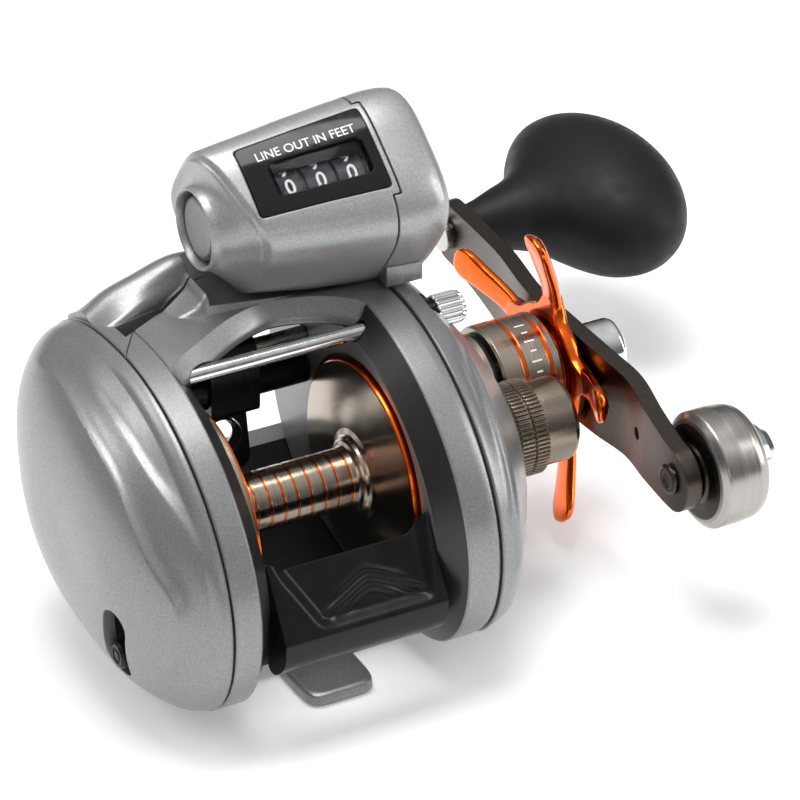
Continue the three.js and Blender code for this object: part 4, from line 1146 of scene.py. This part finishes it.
# ---------------------------------------------------------------- handle
def handle_arm():
    middle_line = spline([(64, 76.4), (50, 76), (32, 74.2), (14, 70.8), (0, 70.4), (-14, 70.8), (-25, 71.4),
                          (-36, 69.4), (-47, 67.8), (-56, 67.4)], 8)
    run = np.gradient(middle_line, axis=0)
    normal = np.stack([-run[:, 1], run[:, 0]], 1) / np.linalg.norm(run, axis=1)[:, None]
    half = 1.7
    ribbon_outline = np.vstack([middle_line + half * normal, (middle_line - half * normal)[::-1]])
    ribbon = prism([(x + HANDLE_X, y + DRIVE_AXIS[0]) for y, x in ribbon_outline], "z", -16, 14, [BRONZE])
    reach, back = KNOB_AXIS[0] - DRIVE_AXIS[0], WEIGHT_AXIS[0] - DRIVE_AXIS[0]
    arc = [math.radians(a) for a in range(-90, 91, 10)]
    face = [(reach + 6.6 * math.cos(a), 6.6 * math.sin(a)) for a in arc]
    face += list(bezier([(reach, 6.6), (40, 6.8), (24, 9.6), (0, 9.6)], 16))[1:]
    face += list(bezier([(0, 9.6), (-22, 9.6), (-34, 7.4), (back, 6.6)], 16))
    face += [(back - 6.6 * math.cos(a), -6.6 * math.sin(a)) for a in arc]
    face += list(bezier([(back, -6.6), (-34, -7.4), (-22, -9.6), (0, -9.6)], 16))[1:]
    face += list(bezier([(0, -9.6), (24, -9.6), (40, -6.8), (reach, -6.6)], 16))
    plan = prism([(y + DRIVE_AXIS[0], z + DRIVE_AXIS[1]) for y, z in face], "x", 56, 86)
    arm = common(ribbon, plan)
    bevel = arm.modifiers.new("edge", "BEVEL")
    bevel.width = 0.55 * MM
    bevel.segments = 3
    bevel.limit_method = "ANGLE"
    bevel.angle_limit = math.radians(50)
    bake(arm)
    holes = [(0, 3.1), (reach, 2.5), (back, 2.3), (27, 1.3), (-31, 1.3)]
    cut(arm, *[rod(55, 92, radius, (y + DRIVE_AXIS[0], DRIVE_AXIS[1]), 40) for y, radius in holes])
    return place(arm, "handle", "bronze", "handle_arm")


def handle_knob():
    """An oval rubber grip, longest along Y, on a round neck."""
    low_corner, high_corner = box_mm("handle_knob")
    x0 = low_corner[0]
    wide, tall = (high_corner[1] - low_corner[1]) / 2, (high_corner[2] - low_corner[2]) / 2
    sections = spline([
        (0, 4.6, 4.6), (3.7, 5.2, 5.2), (8.1, 6.7, 6.5), (11.7, 8, 7.4), (14.2, 9.8, 8.2), (16.7, 13, 9.2),
        (19.2, 17.2, 10.6), (22.7, 21.8, 12.5), (26.7, 24.9, 14.1), (31.6, wide, tall), (36.5, 24.8, 14),
        (41.2, 21.1, 11.9), (44.7, 15.6, 8.8), (46.9, 9.6, 5.4), (47.7, 5.4, 3), (48, 1.4, 0.8),
    ], 5)
    rings = []
    for x, half_width, half_height in sections:
        ring = []
        for k in range(96):
            angle = 2 * math.pi * k / 96
            ring.append(np.array([x0 + x, KNOB_AXIS[0] + half_width * math.cos(angle),
                                  KNOB_AXIS[1] + half_height * math.sin(angle)]))
        rings.append(ring)
    grip = skin("handle_knob_grip", rings, [RUBBER])
    cut(grip, rod(x0 - 2, x0 + 25.7, 2.5, KNOB_AXIS))
    return place(grip, "knob", "black_rubber", "handle_knob")


def counterweight():
    x0 = box_mm("counterweight")[0][0]
    profile = [
        (0, 2.5), (0, 5.4), (0.7, 6), (0.9, 7.5), (1.0, 9.2), (1.2, 10.2), (2.2, 11.6), (6.0, 11.6),
        (9.3, 11.4), (10.6, 11.0), (11.4, 10.4), (12.0, 9.5), (12.2, 8.6), (12.2, 2.5),
    ]
    weight = lathe("counterweight_turned", [(x0 + x, r) for x, r in profile], WEIGHT_AXIS,
                   [WEIGHT_METAL, BRONZE], 128, lambda x, r: 1 if x - x0 < 1.1 else 0, closed=True, corner=0.3)
    place(weight, "handle", "steel", "counterweight")
    bolt_x = box_mm("counterweight_bolt")[0][0]
    bolt_profile = [
        (0.3, 0), (0.3, 1.5), (0, 1.7), (0, 2.5), (0.2, 2.9), (0.5, 3.1), (0.6, 2), (17.7, 2),
        (17.7, 6.8), (18.4, 6.8), (19.8, 6.4), (21.4, 5.4), (22.6, 3.8), (23.1, 2), (23.3, 0),
    ]
    bolt = lathe("weight_bolt_dome", [(bolt_x + x, r) for x, r in bolt_profile], WEIGHT_AXIS,
                 [CHROME, BRONZE], 96, lambda x, r: 1 if x - bolt_x < 2 else 0, corner=0.1)
    place(bolt, "handle", "chrome", "counterweight_bolt")


def handle_nut():
    x0 = box_mm("handle_nut")[0][0]
    profile = [
        (0, 3.1), (0, 6.6), (1.4, 6.6), (1.5, 6.1), (2.4, 6.0), (8.0, 6.0), (8.7, 5.7), (9.2, 5.0),
        (9.35, 3.6), (9.4, 0), (7.0, 0), (7.0, 3.1),
    ]
    nut = lathe("handle_nut_cap", [(x0 + x, r) for x, r in profile], DRIVE_AXIS, [CHROME], 96, corner=0.2)
    place(nut, "handle", "chrome", "handle_nut")


def drive_boss():
    low_corner, high_corner = box_mm("drive_boss_ring")
    x0, x1 = low_corner[0], high_corner[0]
    outer = (high_corner[2] - low_corner[2]) / 2
    profile = [
        (x0, outer - 0.5), (x0, outer), (x1 - 0.9, outer), (x1 - 0.85, outer - 0.15), (x1 - 0.1, outer - 0.15),
        (x1, outer - 0.5),
    ]
    ring = lathe("drive_boss_turned", profile, DRIVE_AXIS, [DRIVE_METAL, BLACK], 128,
                 lambda x, r: 1 if x > x1 - 0.9 else 0, closed=True, corner=0.05)
    place(ring, "frame", "champagne", "drive_boss_ring")


def thumb_screw():
    """The long cover screw with its fluted chrome head and black washer."""
    x0, x1 = (corner[0] for corner in box_mm("cover_thumb_screw"))
    flutes = 16
    head = x1 - 6.2
    profile = [
        (x0, 0), (x0, 0.9), (x0 + 0.7, 1.5), (x1 - 7.8, 1.5), (x1 - 7.8, 2.6), (head, 2.6), (head, 3.0),
        (head + 0.3, 3.2), (x1 - 1.3, 3.2), (x1 - 0.5, 3.0), (x1 - 0.1, 2.3), (x1, 0),
    ]

    def wave(x, radius, angle):
        if radius < 2.9 or x < head:
            return 0.0
        return -0.34 * (0.5 + 0.5 * math.cos(angle * flutes)) ** 2

    screw = lathe("thumb_screw_fluted", profile, SCREW_AXIS, [CHROME, BLACK], flutes * 8,
                  lambda x, r: 1 if x1 - 7.9 < x < head and r > 1.6 else 0, wave, corner=0.12)
    place(screw, "cover_screw", "chrome", "cover_thumb_screw")


def clicker():
    x0, x1 = (corner[0] for corner in box_mm("clicker_knob"))
    profile = [
        (x0, 0), (x0, 0.9), (x0 + 0.3, 1.1), (x0 + 0.3, 1.5), (x0, 1.7), (x0, 2.2), (x0 + 0.5, 2.7), (x1, 2.7),
        (x1, 0),
    ]
    knob = lathe("clicker_stud", profile, CLICKER_AXIS, [BLACK], 64, corner=0.08)
    place(knob, "clicker", "black_plastic", "clicker_knob")


# ---------------------------------------------------------------- level wind
def line_guide():
    """The black carriage on its worm tube and guide rod, with the eye's plate in front."""
    low_corner, high_corner = box_mm("line_guide")
    centre_x = (low_corner[0] + high_corner[0]) / 2
    side = fillet([(21, 5.4), (30, 5.4), (31, 9), (30, 20.6), (22.5, 20.6), (20.6, 14)], 1.6, 5, closed=True)
    carriage = prism([(y, z) for y, z in side], "x", centre_x - 5.2, centre_x + 5.2, [BLACK])
    plate = fillet([(-5.2, 7), (5.2, 7), (6.4, -9), (5, -11), (-5, -11), (-6.4, -9)], 1.2, 4, closed=True)
    apron = prism([(x + centre_x, z) for x, z in plate], "y", 28, 31, [BLACK])
    guide = join(carriage, apron)
    eye = prism(circle(centre_x, -3, 4.6, 64), "y", 20, 40)
    cut(guide, rod(-10, 10, 1.8, ROD_AXIS), rod(-10, 10, 3.6, WORM_AXIS),
        slab(-1.6, 1.6, WORM_AXIS[0] - 1.6, WORM_AXIS[0] + 1.6, WORM_AXIS[1] - 8, WORM_AXIS[1]), eye)
    guide.name = "line_guide_carriage"
    place(guide, "guide", "black_plastic", "line_guide")


# ---------------------------------------------------------------- CAD nodes that stay
def dress(node, material, width=0.15):
    """Gives a CAD node that stays its material and slightly softened edges."""
    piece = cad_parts[node]
    piece.data.materials.clear()
    piece.data.materials.append(material)
    piece.data.polygons.foreach_set("use_smooth", [True] * len(piece.data.polygons))
    weld = piece.modifiers.new("weld", "WELD")
    weld.merge_threshold = 1e-6
    if width:
        bevel = piece.modifiers.new("edge", "BEVEL")
        bevel.width = width * MM
        bevel.segments = 2
        bevel.limit_method = "ANGLE"
        bevel.angle_limit = math.radians(35)
    split = piece.modifiers.new("split", "EDGE_SPLIT")
    split.split_angle = math.radians(32)


def dress_cad_nodes():
    looks = {
        STEEL: [
            "foot_screw_rear", "foot_screw_front", "spool_shaft", "left_spool_bearing", "right_spool_bearing",
            "shaft_end_bearing", "clutch_yoke", "drive_shaft", "drag_pressure_plate", "drag_spring_washer",
            "anti_reverse_sleeve", "anti_reverse_bearing", "knob_spindle", "worm_shaft", "guide_rod",
            "counter_axle",
        ],
        BRASS: ["cast_spacer", "pinion_gear", "worm_drive_gear", "drive_gear", "worm_gear"],
        CARBON: ["drag_washer"],
        BLACK: ["worm_tube"],
        CERAMIC: ["line_guide_eye"],
        PAINT: ["counter_pedestal"],
        LENS: ["counter_lens"],
    }
    for material, nodes in looks.items():
        for node in nodes:
            dress(node, material, 0.1)
    for node in ("yoke_spring_lower", "yoke_spring_upper"):
        dress(node, STEEL, 0)


# ---------------------------------------------------------------- stage, light and camera
def floor():
    mesh = bpy.data.meshes.new("floor")
    half = 3.0
    corners = [(-half, -half, 0), (half, -half, 0), (half, half, 0), (-half, half, 0)]
    mesh.from_pydata(corners, [], [(0, 1, 2, 3)])
    plane = bpy.data.objects.new("floor", mesh)
    bpy.context.scene.collection.objects.link(plane)
    look = Look("floor_white", (0.92, 0.92, 0.92), 0.0, 0.85,
                Emission_Color=(1, 1, 1, 1), Emission_Strength=0.22)
    look.link(look.ramp(look.noise(60), (0.91, 0.91, 0.91), (0.93, 0.93, 0.93)), "Base Color")
    mesh.materials.append(look.material)


def softbox(name, place_at, target, size, power):
    light = bpy.data.lights.new(name, "AREA")
    light.shape = "RECTANGLE"
    light.size, light.size_y = size
    light.energy = power
    lamp = bpy.data.objects.new(name, light)
    bpy.context.scene.collection.objects.link(lamp)
    lamp.location = place_at
    lamp.rotation_euler = (Vector(target) - Vector(place_at)).to_track_quat("-Z", "Y").to_euler()


def lights():
    target = (0.02, 0, 0.04)
    softbox("key", (0.0, 0.08, 0.75), target, (0.5, 0.4), 4.2)
    softbox("left", (-0.60, 0.35, 0.65), target, (0.35, 0.4), 1.7)
    softbox("right", (0.70, -0.35, 0.35), target, (0.22, 0.6), 2.4)
    softbox("front_low", (-0.1, -0.85, 0.25), target, (0.6, 0.2), 0.5)
    world = bpy.data.worlds.new("studio")
    bpy.context.scene.world = world
    world.use_nodes = True
    tree = world.node_tree
    background = tree.nodes["Background"]
    place_node = tree.nodes.new("ShaderNodeTexCoord")
    split = tree.nodes.new("ShaderNodeSeparateXYZ")
    ramp = tree.nodes.new("ShaderNodeValToRGB")
    tree.links.new(place_node.outputs["Generated"], split.inputs[0])
    tree.links.new(split.outputs["Z"], ramp.inputs[0])
    tree.links.new(ramp.outputs[0], background.inputs[0])
    stops = ramp.color_ramp.elements
    stops[0].position, stops[0].color = 0.0, (0.10, 0.10, 0.102, 1)
    stops[1].position, stops[1].color = 1.0, (0.8, 0.8, 0.8, 1)
    middle_stop = stops.new(0.35)
    middle_stop.color = (0.20, 0.20, 0.204, 1)
    background.inputs[1].default_value = 1.0


def camera():
    """A long lens above and to the left of the reel's back, level with the horizon."""
    data = bpy.data.cameras.new("camera")
    data.lens = 214.65
    data.sensor_width = 36
    data.clip_end = 20
    eye = bpy.data.objects.new("camera", data)
    bpy.context.scene.collection.objects.link(eye)
    azimuth, elevation = math.radians(-28), math.radians(31)
    back = Vector((math.sin(azimuth) * math.cos(elevation), -math.cos(azimuth) * math.cos(elevation),
                   math.sin(elevation)))
    eye.location = Vector((-338.9, -691.3, 511.6)) * MM
    eye.rotation_euler = (-back).to_track_quat("-Z", "Y").to_euler()
    bpy.context.scene.camera = eye


# ---------------------------------------------------------------- the reel
camera()
lights()
floor()
frame_shell()
left_cover()
right_cover()
counter_body()
counter_cap()
counter_panel()
window_mask()
counter_title()
for wheel_place in ("hundreds", "tens", "units"):
    digit_wheel(wheel_place)
reset_button()
foot_plate()
thumb_bar()
spool()
cast_knob()
star_drag()
handle_arm()
handle_knob()
counterweight()
handle_nut()
drive_boss()
thumb_screw()
clicker()
line_guide()
dress_cad_nodes()
bpy.context.scene.view_settings.view_transform = "Standard"
